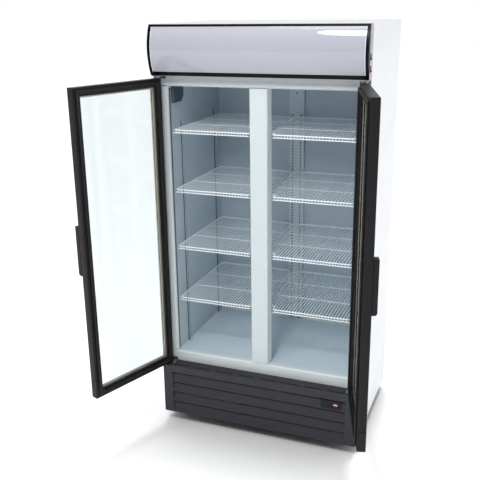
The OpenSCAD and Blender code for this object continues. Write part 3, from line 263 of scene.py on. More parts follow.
class BodySizes(bpy.types.PropertyGroup):
    """Sizes of the small roundings and strips on the cabinet."""

    sheet_round: length("Sheet rounding", "Rounding of the folded sheets' edges", 0.0012)
    grille_round: length("Grille rounding", "Rounding of the louvres' edges", 0.0006)
    case_edge: length("Case edge", "Shortest edge of the controller that is rounded", 0.006)
    bead: length("Sealant bead", "Radius of the sealant bead round the floor", 0.0045)
    # The dark strips sized here and below are painted shade behind and in the slots
    backing: length("Backing", "Thickness of the dark strips behind slots", 0.0006)
    backing_depth: length("Backing depth", "Their depth behind the slotted faces", 0.0016)
    backing_margin: length("Backing margin", "How far they stop short of a face's ends", 0.002)
    ledge_edge: length("Ledge edge", "Depth of the ledge in front of its slots", 0.009)
    ledge_depth: length("Ledge depth", "Depth of the foot of the strips in those slots", 0.002)
    slot_row: length("Slot row", "Distance of the centre's slot rows from the middle", 0.021)
    slot_reach: length("Slot reach", "Half the width of a strip behind a slot row", 0.0034)


class DisplaySizes(bpy.types.PropertyGroup):
    """Sizes of the controller's display."""

    recess: length("Recess", "Depth of the controller's recess", 0.0012)
    left: portion("Left", "Recess's left edge from the middle, as a share of the width", 0.06)
    right: portion("Right", "Recess's right edge from the middle, likewise", 0.40)
    reach: portion("Reach", "Half the recess's height, as a share of the controller's", 0.28)
    gap: length("Gap", "Gap round the window", 0.0004)
    window: length("Window", "Thickness of the window", 0.0008)
    bars: whole("Bars", "Number of lit bars", 3, 1)
    bar_depth: length("Bar depth", "Thickness of the lit bars", 0.0002)
    lift: length("Lift", "Gap between the window and the bars", 0.0001)
    pitches: number("Pitches", "Pitches of the bars in the recess's width", 5.0, 1.0)
    first: number("First", "Pitches from the left edge to the first bar", 1.3)
    bar_share: portion("Bar width", "Share of a pitch that a bar fills", 0.45)
    ends: portion("Ends", "Share of the recess left free over and under the bars", 0.3)


class Refrigerator(bpy.types.PropertyGroup):
    """Everything that a user can change."""

    camera: PointerProperty(type=CameraSizes)
    stage: PointerProperty(type=StageSizes)
    tones: PointerProperty(type=Tones)
    doors: PointerProperty(type=DoorSizes)
    shelves: PointerProperty(type=ShelfSizes)
    header: PointerProperty(type=HeaderSizes)
    body: PointerProperty(type=BodySizes)
    display: PointerProperty(type=DisplaySizes)


# Arrays of points and faces


def grid_faces(rows, columns, close_rows=False, close_columns=False):
    """Quads between neighbours on a grid stored row by row; a closed side joins last to first."""
    r = np.arange(rows if close_rows else rows - 1)[:, None]
    c = np.arange(columns if close_columns else columns - 1)[None, :]
    next_r = (r + 1) % rows
    next_c = (c + 1) % columns
    corners = (r * columns + c, r * columns + next_c, next_r * columns + next_c,
               next_r * columns + c)
    return np.stack(np.broadcast_arrays(*corners), -1).reshape(-1, 4).tolist()


def tube_faces(rings, count):
    """Faces of a tube stored ring by ring, with one face over each end."""
    last = (rings - 1) * count
    ends = [list(range(count))[::-1], list(range(last, last + count))]
    return grid_faces(rings, count, close_columns=True) + ends


def join(parts):
    """One list of points and one of faces from several, each part's faces counted on."""
    points = np.concatenate([p for p, _ in parts])
    starts = np.cumsum([0] + [len(p) for p, _ in parts[:-1]])
    faces = [[i + start for i in face] for (_, part), start in zip(parts, starts) for face in part]
    return points, faces


def block(low, high):
    """A box: its corners are the low one plus each choice of the three differences to the high."""
    low, high = np.asarray(low, float), np.asarray(high, float)
    choice = np.array([(i & 1, i >> 1 & 1, i >> 2 & 1) for i in range(8)])
    faces = [[0, 2, 3, 1], [4, 5, 7, 6], [0, 1, 5, 4], [2, 6, 7, 3], [0, 4, 6, 2], [1, 3, 7, 5]]
    return low + choice * (high - low), faces


def spans(values, gap=CHANNEL_GAP):
    """Ends of each cluster: sorted values are parted where neighbours differ by over the gap."""
    values = np.unique(values)
    clusters = np.split(values, np.flatnonzero(np.diff(values) > gap) + 1)
    return [(cluster[0], cluster[-1]) for cluster in clusters]


def points_of(name):
    """The places of a frame node's vertices."""
    vertices = frame["nodes"][name].data.vertices
    points = np.empty(len(vertices) * 3)
    vertices.foreach_get("co", points)
    return points.reshape(-1, 3)


def fillet(corner, before, after, radius, steps=6):
    """Arc of that radius in the corner between two directions: the centre lies on their bisector,
    and each point is the centre plus the radius times a blend of the two end directions by sines."""
    corner, before, after = (np.asarray(p, float) for p in (corner, before, after))
    u = (before - corner) / np.linalg.norm(before - corner)
    v = (after - corner) / np.linalg.norm(after - corner)
    half = math.acos(np.clip(u @ v, -1, 1)) / 2
    bisector = (u + v) / np.linalg.norm(u + v)
    centre = corner + bisector * radius / math.sin(half)
    a = (corner + u * radius / math.tan(half) - centre) / radius
    b = (corner + v * radius / math.tan(half) - centre) / radius
    sweep = math.acos(np.clip(a @ b, -1, 1))
    t = np.linspace(0, 1, steps + 1)[:, None]
    return centre + radius * (np.sin((1 - t) * sweep) * a + np.sin(t * sweep) * b) / math.sin(sweep)


def rounded_loop(corners, radii):
    """Closed path through corners with an arc in each: the corners' fillets, one after another."""
    following = corners[1:] + corners[:1]
    return np.concatenate([fillet(corner, corners[i - 1], following[i], radii[i])
                           for i, corner in enumerate(corners)])


def rod(path, across, diameter, sides, closed=False):
    """Tube along a flat path. Each ring is the path's point plus the radius times the cosine of the
    angle along the flat's normal and the sine along the other side of the path's direction. The
    ends of an open one are domes that narrow to just over half."""
    path = np.asarray(path, float)
    if closed:
        along = np.roll(path, -1, 0) - np.roll(path, 1, 0)
    else:
        along = np.gradient(path, axis=0)
    along = along / np.linalg.norm(along, axis=1)[:, None]
    aside = np.cross(along, across)
    scale = np.full(len(path), diameter / 2)
    if not closed:
        dome, narrow = 0.3 * diameter, 0.55
        path = np.concatenate([path[:1] - along[:1] * dome, path, path[-1:] + along[-1:] * dome])
        aside = np.concatenate([aside[:1], aside, aside[-1:]])
        scale = np.concatenate([scale[:1] * narrow, scale, scale[-1:] * narrow])
    angle = np.linspace(0, 2 * math.pi, sides, endpoint=False)[None, :, None]
    ring = np.cos(angle) * np.asarray(across, float) + np.sin(angle) * aside[:, None]
    points = (path[:, None] + scale[:, None, None] * ring).reshape(-1, 3)
    if closed:
        return points, grid_faces(len(path), sides, close_rows=True, close_columns=True)
    return points, tube_faces(len(path), sides)


def place_piece(name, mesh, slot, look=None, body=CABINET, replaces=(), angle=SHARP):
    """Puts a mesh in the scene as a piece that rides on a body. It is shaded smoothly but for
    edges sharper than the angle, and its look is its slot's unless another is named."""
    mesh.polygons.foreach_set("use_smooth", np.ones(len(mesh.polygons), bool))
    mesh.set_sharp_from_angle(angle=angle)
    mesh.materials.append(finish_of(look or slot))
    piece = bpy.data.objects.new(name, mesh)
    bpy.context.scene.collection.objects.link(piece)
    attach(piece, body)
    if replaces:
        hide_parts(*replaces)
    return piece


def new_piece(name, part, slot, **settings):
    """A piece from points and faces, its normals turned outwards."""
    points, faces = part
    mesh = bpy.data.meshes.new(name)
    mesh.from_pydata(points.tolist(), [], faces)
    shell = bmesh.new()
    shell.from_mesh(mesh)
    bmesh.ops.recalc_face_normals(shell, faces=shell.faces)
    shell.to_mesh(mesh)
    shell.free()
    place_piece(name, mesh, slot, **settings)


def rounded_copy(source, name, width, least=LONG_EDGE, segments=2, body=CABINET):
    """Copy of a frame node whose doubles are merged and flat faces joined, with its long sharp
    edges rounded by a bevel of that width."""
    shell = bmesh.new()
    shell.from_mesh(frame["nodes"][source].data)
    bmesh.ops.remove_doubles(shell, verts=shell.verts, dist=MERGE)
    bmesh.ops.dissolve_limit(shell, angle_limit=FLAT, verts=shell.verts, edges=shell.edges)
    weight = shell.edges.layers.float.new("bevel_weight_edge")
    for edge in shell.edges:
        if edge.calc_length() > least and edge.calc_face_angle(0.0) > FOLD:
            edge[weight] = 1.0
    mesh = bpy.data.meshes.new(name)
    shell.to_mesh(mesh)
    shell.free()
    piece = place_piece(name, mesh, SLOT_OF[source], body=body, replaces=[source])
    bevel = piece.modifiers.new("Rounding", "BEVEL")
    bevel.limit_method = "WEIGHT"
    bevel.width = width
    bevel.segments = segments
    bevel.use_clamp_overlap = True
    bevel.harden_normals = True


# Finishes


def feed(tree, target, value):
    """Sets an input to a value, or joins it to a socket."""
    if isinstance(value, bpy.types.NodeSocket):
        tree.links.new(value, target)
    else:
        target.default_value = value


def node(tree, kind, **inputs):
    """A node whose named inputs are set or joined."""
    made = tree.nodes.new(kind)
    for name, value in inputs.items():
        feed(tree, made.inputs[name.replace("_", " ")], value)
    return made


def computed(tree, operation, *values):
    """The result of one step of arithmetic on sockets or numbers."""
    step = tree.nodes.new("ShaderNodeMath")
    step.operation = operation
    for target, value in zip(step.inputs, values):
        feed(tree, target, value)
    return step.outputs["Value"]


def ranged(tree, value, start, end, low=0.0, high=1.0):
    """A value that runs from start to end, made to run from low to high."""
    spread = node(tree, "ShaderNodeMapRange", Value=value, From_Min=start, From_Max=end,
                  To_Min=low, To_Max=high)
    return spread.outputs["Result"]


def shade(tone, factor):
    """A colour made darker or lighter by a factor."""
    return tuple(min(1.0, x * factor) for x in tone)


class Finish:
    """A material in the making. What is the same all over it sits on the shader's own sockets."""

    def __init__(self, name, tone, roughness, metallic=0.0, coat=0.0, coat_roughness=0.1, shine=0.5):
        self.material = bpy.data.materials.new(name)
        self.material.use_nodes = True
        self.tree = self.material.node_tree
        self.tone = tone
        self.roughness = roughness
        self.put("Roughness", roughness)
        self.put("Metallic", metallic)
        self.put("Coat Weight", coat)
        self.put("Coat Roughness", coat_roughness)
        self.put("Specular IOR Level", shine)

    def put(self, name, value):
        """Sets one of the shader's inputs, or joins it to a socket."""
        feed(self.tree, self.tree.nodes["Principled BSDF"].inputs[name], value)

    def spots(self, stretch=(1.0, 1.0, 1.0)):
        """Object coordinates, stretched along each axis."""
        here = node(self.tree, "ShaderNodeTexCoord").outputs["Object"]
        return node(self.tree, "ShaderNodeMapping", Vector=here, Scale=stretch).outputs["Vector"]

    def grain(self, scale, detail=3.0, stretch=(1.0, 1.0, 1.0)):
        """Noise with that many features to the metre."""
        noise = node(self.tree, "ShaderNodeTexNoise", Vector=self.spots(stretch), Scale=scale,
                     Detail=detail)
        return noise.outputs["Fac"]

    def cells(self, scale):
        """A pattern with that many cells to the metre."""
        return node(self.tree, "ShaderNodeTexVoronoi", Vector=self.spots(), Scale=scale)

    def place(self, axis):
        """A point's place on an axis. On X it is the distance from the middle, to either side."""
        here = node(self.tree, "ShaderNodeTexCoord").outputs["Object"]
        along = node(self.tree, "ShaderNodeSeparateXYZ", Vector=here).outputs[axis]
        return computed(self.tree, "ABSOLUTE", along) if axis == "X" else along

    def rise(self, part, noise=0.16):
        """How far up a frame node a point lies, as a share, with a little noise added to it."""
        low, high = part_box(part)
        share = ranged(self.tree, self.place("Z"), low.z, high.z)
        cloud = computed(self.tree, "MULTIPLY", self.grain(3.0, 2.0), noise)
        return computed(self.tree, "ADD", cloud, share)

    def tones(self, share, dark, light, low=NOISE_LOW, high=NOISE_HIGH):
        """Base colour that runs from dark to light as the share goes from low to high."""
        ramp = node(self.tree, "ShaderNodeValToRGB", Fac=share)
        for stop, place, tone in zip(ramp.color_ramp.elements, (low, high), (dark, light)):
            stop.position = place
            stop.color = (*tone, 1.0)
        self.put("Base Color", ramp.outputs["Color"])

    def mottle(self, share, dark, light, low=NOISE_LOW, high=NOISE_HIGH):
        """Base colour between two multiples of the finish's own tone."""
        self.tones(share, shade(self.tone, dark), shade(self.tone, light), low, high)

    def gloss(self, share, low, high):
        """Roughness between two multiples of the finish's own, by a share."""
        self.put("Roughness", ranged(self.tree, share, NOISE_LOW, NOISE_HIGH, self.roughness * low,
                                     self.roughness * high))

    def relief(self, height, strength, depth):
        """Bump of that strength and depth from a height."""
        bump = node(self.tree, "ShaderNodeBump", Height=height, Strength=strength, Distance=depth)
        self.put("Normal", bump.outputs["Normal"])

    def tone_past(self, axis, limit, tone, test="GREATER_THAN"):
        """Another base colour where a point's place on an axis is past a limit, or short of it."""
        usual = self.tree.nodes["Principled BSDF"].inputs["Base Color"].links[0].from_socket
        mix = self.tree.nodes.new("ShaderNodeMix")
        mix.data_type = "RGBA"
        feed(self.tree, mix.inputs["Factor"], computed(self.tree, test, self.place(axis), limit))
        feed(self.tree, mix.inputs["A"], usual)
        feed(self.tree, mix.inputs["B"], (*tone, 1.0))
        self.put("Base Color", mix.outputs["Result"])


def enamel(name, tone, roughness=0.36, peel=0.02, coat=0.35):
    """Stoved paint on steel: soft mottling, and the fine waviness of sprayed paint."""
    finish = Finish(name, tone, roughness, coat=coat, coat_roughness=0.12)
    finish.mottle(finish.grain(2.5, 2.0), 0.97, 1.0)
    finish.gloss(finish.grain(9.0), 0.85, 1.25)
    finish.relief(finish.grain(220.0, 1.5), peel, 0.0004)
    return finish


def graded(name, foot, head, part):
    """Enamel a little greyer towards the head of a frame node; a darker head tone is painted shade there, where
    less light reaches.
    """
    finish = enamel(name, head, coat=0.1)
    finish.tones(finish.rise(part), foot, head, 0.0, 1.1)
    return finish


def lined(name, foot, head, rear, floor):
    """The liner's enamel with painted shade and light: side walls greyer towards their head, a greyer rear sheet
    in the deeper shade, and a paler floor sheet where more light falls.
    """
    finish = graded(name, foot, head, "inner_liner")
    low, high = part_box("inner_liner")
    finish.tone_past("Y", high.y - PAST_SHEET, rear)
    finish.tone_past("Z", low.z + PAST_SHEET, floor, "LESS_THAN")
    return finish


def slotted(name, tone, deep):
    """The shelf channels' enamel with painted shade behind the slotted faces, a dark tone where their hollows lie
    in shade, but not on the outer flanges of the two in the middle."""
    finish = graded(name, tone, tone, "wall_channels")
    sizes = bpy.context.scene.refrigerator.body
    walls, centre = points_of("wall_channels"), points_of("centre_channels")
    # The deep tone is painted shade, behind the faces of the middle channels and of the wall channels
    finish.tone_past("Y", spans(centre[:, 1])[1][0] + BEHIND, deep)
    finish.tone_past("X", sizes.slot_row + sizes.slot_reach, tone)
    finish.tone_past("X", walls[walls[:, 0] > 0][:, 0].min() + BEHIND, deep)
    return finish


def top_shaded_enamel(name, tone, top):
    """White enamel with painted shade on the upper face of the top sheet: a greyer tone there."""
    finish = enamel(name, tone)
    finish.tone_past("Z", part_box("top_panel")[1].z - FACE, top)
    return finish


def side_lit_enamel(name, tone, painted_side_light):
    """The centre post's enamel, with painted light on its two sides: a paler tone there."""
    finish = graded(name, tone, tone, "mullion")
    finish.tone_past("X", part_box("mullion")[1].x - FACE, painted_side_light)
    return finish


def powder_coat(name, tone, roughness=0.5, pebble=0.3, shine=0.5):
    """Fine pebbled coat: a speckle a millimetre across that lightens the tone and breaks gloss."""
    finish = Finish(name, tone, roughness, shine=shine)
    speckle = finish.grain(1100.0, 2.0)
    finish.mottle(speckle, 0.8, 1.2)
    finish.gloss(finish.grain(5.0), 0.9, 1.12)
    finish.relief(speckle, pebble, 0.0003)
    return finish


def moulded(name, tone, roughness=0.4, texture=0.12, shine=0.5):
    """Moulded plastic: a faint cloudiness and a fine eroded texture."""
    finish = Finish(name, tone, roughness, shine=shine)
    finish.mottle(finish.grain(14.0), 0.93, 1.05)
    finish.gloss(finish.grain(40.0), 0.85, 1.15)
    finish.relief(finish.grain(700.0, 2.0), texture, 0.0002)
    return finish


def brushed(name, tone, roughness=0.35, stretch=(0.04, 1.0, 1.0), metallic=0.9):
    """Metal with fine lines along one axis: noise stretched far along it."""
    finish = Finish(name, tone, roughness, metallic)
    lines = finish.grain(900.0, 2.0, stretch)
    finish.mottle(lines, 0.9, 1.06)
    finish.gloss(lines, 0.8, 1.25)
    finish.relief(lines, 0.08, 0.0002)
    return finish


def spangled(name, tone):
    """Zinc coat: crystals a centimetre across, each with its own tone and gloss."""
    finish = Finish(name, tone, 0.42, metallic=0.85)
    parts = node(finish.tree, "ShaderNodeSeparateColor", Color=finish.cells(75.0).outputs["Color"])
    finish.mottle(parts.outputs["Red"], 0.82, 1.08, 0.0, 1.0)
    finish.gloss(parts.outputs["Green"], 0.75, 1.2)
    return finish


def rubber(name, tone):
    """Soft rubber: dusty patches over a fine matt skin."""
    finish = Finish(name, tone, 0.62, shine=0.35)
    finish.mottle(finish.grain(18.0, 4.0), 1.0, 1.5)
    finish.gloss(finish.grain(60.0, 2.0), 0.9, 1.1)
    finish.relief(finish.grain(900.0, 2.0), 0.1, 0.0002)
    return finish


def foamed(name, tone, core):
    """Rigid foam with open cells, in a paler foam in the centre post."""
    finish = Finish(name, tone, 0.9)
    hollow = finish.cells(500.0).outputs["Distance"]
    finish.mottle(hollow, 0.8, 1.0, 0.1, 0.8)
    finish.tone_past("X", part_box("mullion")[1].x, core, "LESS_THAN")
    finish.relief(hollow, 0.4, 0.0008)
    return finish


def aged_copper(name, tone):
    """Drawn copper tube with darker tarnished patches."""
    finish = Finish(name, tone, 0.5, metallic=1.0)
    finish.mottle(finish.grain(35.0, 5.0), 0.45, 1.0, 0.35, 0.6)
    finish.gloss(finish.grain(50.0, 4.0), 0.6, 1.0)
    return finish


def lit(name, tone, glow):
    """A lit lens: cloudy plastic that also gives off light."""
    finish = Finish(name, tone, 0.4)
    finish.mottle(finish.grain(200.0, 2.0), 0.9, 1.0)
    finish.put("Emission Color", (*glow, 1.0))
    finish.put("Emission Strength", 1.0)
    return finish


def opal_panel(name, tone, edge):
    """Opal acrylic: a glossy skin over a cloudy body that is a little darker towards its foot, with a painted
    highlight at its two ends: a pale tone where their edges catch the light."""
    finish = Finish(name, tone, 0.5, coat=1.0, coat_roughness=0.04, shine=0.0)
    finish.mottle(finish.rise("header_panel"), 0.88, 1.06, 0.0, 1.0)
    glow = bpy.context.scene.refrigerator.header.edge_glow
    finish.tone_past("X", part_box("header_panel")[1].x - glow, edge)
    return finish


def pane_glass(name, tone):
    """Clear float glass: lets light through with a faint tint, and mirrors it by Fresnel's law on
    the faces that look outwards; faint wipe marks change the sharpness of the mirror image."""
    finish = Finish(name, tone, 0.0)
    tree = finish.tree
    tree.nodes.remove(tree.nodes["Principled BSDF"])
    marks = ranged(tree, finish.grain(6.0, 3.0, (1.0, 1.0, 0.25)), 0.0, 1.0, 0.01, 0.05)
    clear = node(tree, "ShaderNodeBsdfTransparent", Color=(*tone, 1.0))
    mirror = node(tree, "ShaderNodeBsdfGlossy", Color=(1.0, 1.0, 1.0, 1.0), Roughness=marks)
    fresnel = node(tree, "ShaderNodeFresnel", IOR=1.5).outputs["Fac"]
    inside = node(tree, "ShaderNodeNewGeometry").outputs["Backfacing"]
    share = computed(tree, "MULTIPLY", fresnel, computed(tree, "SUBTRACT", 1.0, inside))
    mix = node(tree, "ShaderNodeMixShader", Fac=share)
    feed(tree, mix.inputs[1], clear.outputs["BSDF"])
    feed(tree, mix.inputs[2], mirror.outputs["BSDF"])
    feed(tree, tree.nodes["Material Output"].inputs["Surface"], mix.outputs["Shader"])
    return finish


def recipe(make, *tones, **settings):
    """How a finish is made: its maker, its tones and its settings. A tone is the name of a colour
    that a user can change, or a screen colour."""
    return make, tones, settings


UPRIGHT = (1.0, 1.0, 0.04)
FINISHES = {
    # The panels' second tone is painted shade on the top sheet's upper face
    "white_panel": recipe(top_shaded_enamel, "panels", (178, 180, 183)),
    "galvanised": recipe(spangled, (190, 192, 195)),
    "base_steel": recipe(powder_coat, (60, 60, 64)),
    "foam": recipe(foamed, (220, 205, 150), (206, 214, 216)),
    # The liner's head and rear tones are painted shade, its floor tone painted light
    "liner": recipe(lined, "liner", (174, 190, 201), (172, 188, 200), (208, 224, 233)),
    # The frame strips' head tone is painted shade, greyer up under the header
    "frame_strip": recipe(graded, "strips", (190, 197, 202), part="front_frame"),
    # The post's second tone is painted light on its two sides
    "post": recipe(side_lit_enamel, "post", (248, 254, 250)),
    "light_strip": recipe(moulded, (70, 80, 92), roughness=0.35),
    "driver_box": recipe(moulded, (60, 72, 82), roughness=0.45),
    # The channels' second tone is painted shade in their hollows
    "channel": recipe(slotted, "channels", (44, 50, 56)),
    "clip": recipe(brushed, (170, 174, 178)),
    "shelf_wire": recipe(enamel, "wires"),
    "header_case": recipe(brushed, (168, 168, 172), stretch=UPRIGHT),
    "header_trim": recipe(moulded, "trim", roughness=0.36, texture=0.02, shine=0.12),
    "header_panel": recipe(opal_panel, "opal", "opal_edge"),
    "lamp": recipe(moulded, (240, 240, 244), roughness=0.22, texture=0.01),
    "switch_body": recipe(moulded, (16, 16, 18), roughness=0.22),
    "rocker": recipe(moulded, "rockers", roughness=0.22, texture=0.02, shine=0.3),
    "grille": recipe(powder_coat, "grille", shine=0.3),
    "screw": recipe(brushed, (70, 70, 74), roughness=0.4),
    "controller": recipe(moulded, (30, 30, 34), roughness=0.45, texture=0.04, shine=0.2),
    "display": recipe(moulded, (26, 6, 8), roughness=0.15, texture=0.0, shine=0.3),
    "display_lit": recipe(lit, (255, 200, 190), (255, 110, 100)),
    # Near black, for the painted shade strips behind the slots and for the spacer's dark line
    "void": recipe(moulded, (8, 8, 10), roughness=0.8, texture=0.0, shine=0.1),
    "compressor": recipe(enamel, (24, 24, 27), roughness=0.35, peel=0.25),
    "rubber": recipe(rubber, (22, 22, 22)),
    "fins": recipe(brushed, (186, 190, 196), roughness=0.4, stretch=(1.0, 1.0, 0.05)),
    "shroud": recipe(spangled, (120, 122, 126)),
    "fan": recipe(moulded, (28, 28, 31)),
    "motor": recipe(powder_coat, (70, 70, 76), roughness=0.45),
    "copper": recipe(aged_copper, (200, 122, 84)),
    "cover": recipe(enamel, (214, 222, 230), roughness=0.35),
    "drain": recipe(brushed, (176, 180, 186), stretch=UPRIGHT),
    "pan": recipe(moulded, (40, 40, 43), roughness=0.55),
    "inlet": recipe(moulded, (18, 18, 20)),
    "bracket": recipe(brushed, (176, 182, 188), roughness=0.36),
    "foot": recipe(moulded, (34, 34, 36), roughness=0.5),
    "door_frame": recipe(powder_coat, "doors", roughness=0.42, pebble=0.12, shine=0.22),
    "door_glass": recipe(pane_glass, "glass"),
    "spacer": recipe(brushed, (222, 214, 198), metallic=0.4),
    "gasket": recipe(rubber, (20, 20, 23)),
    "pull": recipe(powder_coat, "doors", roughness=0.42, pebble=0.12, shine=0.22),
    "sealant": recipe(moulded, (236, 238, 228), roughness=0.45, texture=0.05),
}


def finish_of(slot):
    """The material of a slot, made once by its recipe."""
    name = slot + "_finish"
    if name in bpy.data.materials:
        return bpy.data.materials[name]
    make, tones, settings = FINISHES[slot]
    own = bpy.context.scene.refrigerator.tones
    tones = [getattr(own, tone) if isinstance(tone, str) else screen(*tone) for tone in tones]
    return make(name, *tones, **settings).material


# Doors


class Hang:
    """Where a door hangs: turns points of a closed door into the rest pose and back.

    A door's own point is its distance from the hinge edge, its height above the floor and its
    distance in front of the plane that the seal meets.
    """

    def __init__(self, side):
        joint = next(j for j in frame["joints"] if j["name"] == side + "_door_hinge")
        self.pivot = np.array(joint["pos_m"])
        self.closing = math.radians(joint["range_deg"][0]) * joint["axis"][2]
        self.sign = 1.0 if side == "left" else -1.0
        self.seal_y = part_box("front_frame")[0].y
        bars = self.turned(points_of("door_frame_" + side), self.closing)
        self.edge_x = (bars[:, 0] * self.sign).min() * self.sign

    def turned(self, points, angle):
        """Points turned about the hinge pin: x and y by the cosine and sine of the angle."""
        x, y = (points[:, 0] - self.pivot[0]), (points[:, 1] - self.pivot[1])
        c, s = math.cos(angle), math.sin(angle)
        return np.stack([self.pivot[0] + x * c - y * s, self.pivot[1] + x * s + y * c,
                         points[:, 2]], -1)

    def open(self, points):
        """A door's own points in the rest pose."""
        closed = np.stack([self.edge_x + self.sign * points[:, 0], self.seal_y - points[:, 2],
                           points[:, 1]], -1)
        return self.turned(closed, -self.closing)

    def own(self, name):
        """A node's points in the door's own places."""
        closed = self.turned(points_of(name), self.closing)
        return np.stack([(closed[:, 0] - self.edge_x) * self.sign, closed[:, 2],
                         self.seal_y - closed[:, 1]], -1)

    def span(self, name):
        """Lowest and highest corner of a node in the door's own places."""
        own = self.own(name)
        return own.min(0), own.max(0)


def corner_arc(u, w, radius, quarter, steps=5):
    """Quarter circle in a profile: the corner moved in by the radius, plus the radius times the
    cosine and sine from that quarter on. Quarters count on from the corner low in u and w."""
    inward = np.array([(1, 1), (-1, 1), (-1, -1), (1, -1)][quarter])
    start = math.pi + quarter * math.pi / 2
    angle = np.linspace(start, start + math.pi / 2, steps)
    arc = np.stack([np.cos(angle), np.sin(angle)], -1)
    return np.array([u, w]) + radius * (inward + arc)


def bar_profile(width, back, front, doors):
    """Outline of a frame bar: distance in from the door's edge, and depth. Four rounded corners,
    the glass groove in its inner edge, and a fine line where the bead clips in on each face."""
    line = width - doors.bead_line
    nick = doors.bead_nick
    middle = (back + front) / 2
    half = doors.groove_width / 2
    deep = width - doors.glass_groove
    back_line = [[line - nick / 2, back], [line, back + nick], [line + nick / 2, back]]
    groove = [[width, middle - half], [deep, middle - half], [deep, middle + half],
              [width, middle + half]]
    front_line = [[line + nick / 2, front], [line, front - nick], [line - nick / 2, front]]
    return np.concatenate([
        corner_arc(0, back, doors.back_radius, 0), back_line,
        corner_arc(width, back, doors.back_radius, 1), groove,
        corner_arc(width, front, doors.front_radius, 2), front_line,
        corner_arc(0, front, doors.front_radius, 3)])


def mitred_bar(profile, run, doors, rings=()):
    """A bar cut square to its mitres. A point of the profile that lies in from the edge by u starts
    at u plus the seam and ends at the run less as much; each ring is a place along the bar and how
    far the outer part of the profile is drawn in there."""
    u, w = profile[:, 0], profile[:, 1]
    middle = (profile.min(0) + profile.max(0)) / 2
    stations = [np.stack([u + doors.seam, u, w], -1)]
    for place, inset in rings:
        drawn = profile - np.sign(profile - middle) * inset * (profile[:, :1] < doors.cap_reach)
        stations.append(np.column_stack([np.full(len(u), place), drawn]))
    stations.append(np.stack([run - u - doors.seam, u, w], -1))
    return np.concatenate(stations), tube_faces(len(stations), len(u))


def door_bars(hang, side, doors):
    """The four mitred bars of one door, with a line round the cap at the foot of its free edge."""
    low, high = hang.span("door_frame_" + side)
    width, height, base = high[0], high[1] - low[1], low[1]
    profile = bar_profile(doors.bar_width, low[2], high[2], doors)
    nick = doors.cap_line
    line = [(doors.cap - nick, 0.0), (doors.cap - nick / 2, nick), (doors.cap + nick / 2, nick),
            (doors.cap + nick, 0.0)]
    bars = []
    for run, rings, turn in (
            (width, (), lambda s, u: (s, u)),
            (height, line, lambda s, u: (width - u, s)),
            (width, (), lambda s, u: (width - s, height - u)),
            (height, (), lambda s, u: (u, height - s))):
        points, faces = mitred_bar(profile, run, doors, rings)
        across, up = turn(points[:, 0], points[:, 1])
        bars.append((np.stack([across, up + base, points[:, 2]], -1), faces))
    points, faces = join(bars)
    return hang.open(points), faces


# Section of a door's seal, as shares of its width and of its depth
SEAL_OUTLINE = np.array([
    [0.00, 0.46], [0.00, 0.33], [0.08, 0.07], [0.16, 0.00], [0.28, 0.00], [0.34, 0.10],
    [0.40, 0.10], [0.46, 0.02], [0.54, 0.02], [0.60, 0.10], [0.66, 0.10], [0.72, 0.00],
    [0.84, 0.00], [0.92, 0.07], [1.00, 0.33], [1.00, 0.46], [0.90, 0.55], [0.80, 0.66],
    [0.97, 0.82], [0.94, 1.00], [0.06, 1.00], [0.03, 0.82], [0.20, 0.66], [0.10, 0.55]])


def carried_round(hang, low, high, u, w):
    """An outline carried round a door: a point of it that lies in by u passes through the four
    corners of the rectangle that is in from the box's edge by u, at the depth w."""
    left, right = low[0] + u, high[0] - u
    foot, head = low[1] + u, high[1] - u
    corners = [(left, foot), (right, foot), (right, head), (left, head)]
    rings = np.stack([np.stack([x, z, w], -1) for x, z in corners])
    faces = grid_faces(4, len(u), close_rows=True, close_columns=True)
    return hang.open(rings.reshape(-1, 3)), faces


def door_seal(hang, side, doors):
    """The seal's outline carried round the door."""
    low, high = hang.span("door_gasket_" + side)
    w = low[2] + SEAL_OUTLINE[:, 1] * (high[2] - low[2])
    return carried_round(hang, low, high, SEAL_OUTLINE[:, 0] * doors.seal_width, w)


def spacer_line(hang, side, doors):
    """A dark line along the middle of the spacer's inner face."""
    own = hang.own("door_spacer_" + side)
    low, high = own.min(0), own.max(0)
    inner = own[own[:, 0] - low[0] > FACE][:, 0].min() - low[0]
    middle = (low[2] + high[2]) / 2
    half = (high[2] - low[2]) * doors.line_share / 2
    u = inner + np.array([-doors.line_root, doors.line_proud, doors.line_proud, -doors.line_root])
    w = middle + half * np.array([-1.0, -1.0, 1.0, 1.0])
    return carried_round(hang, low, high, u, w)


# Shelves


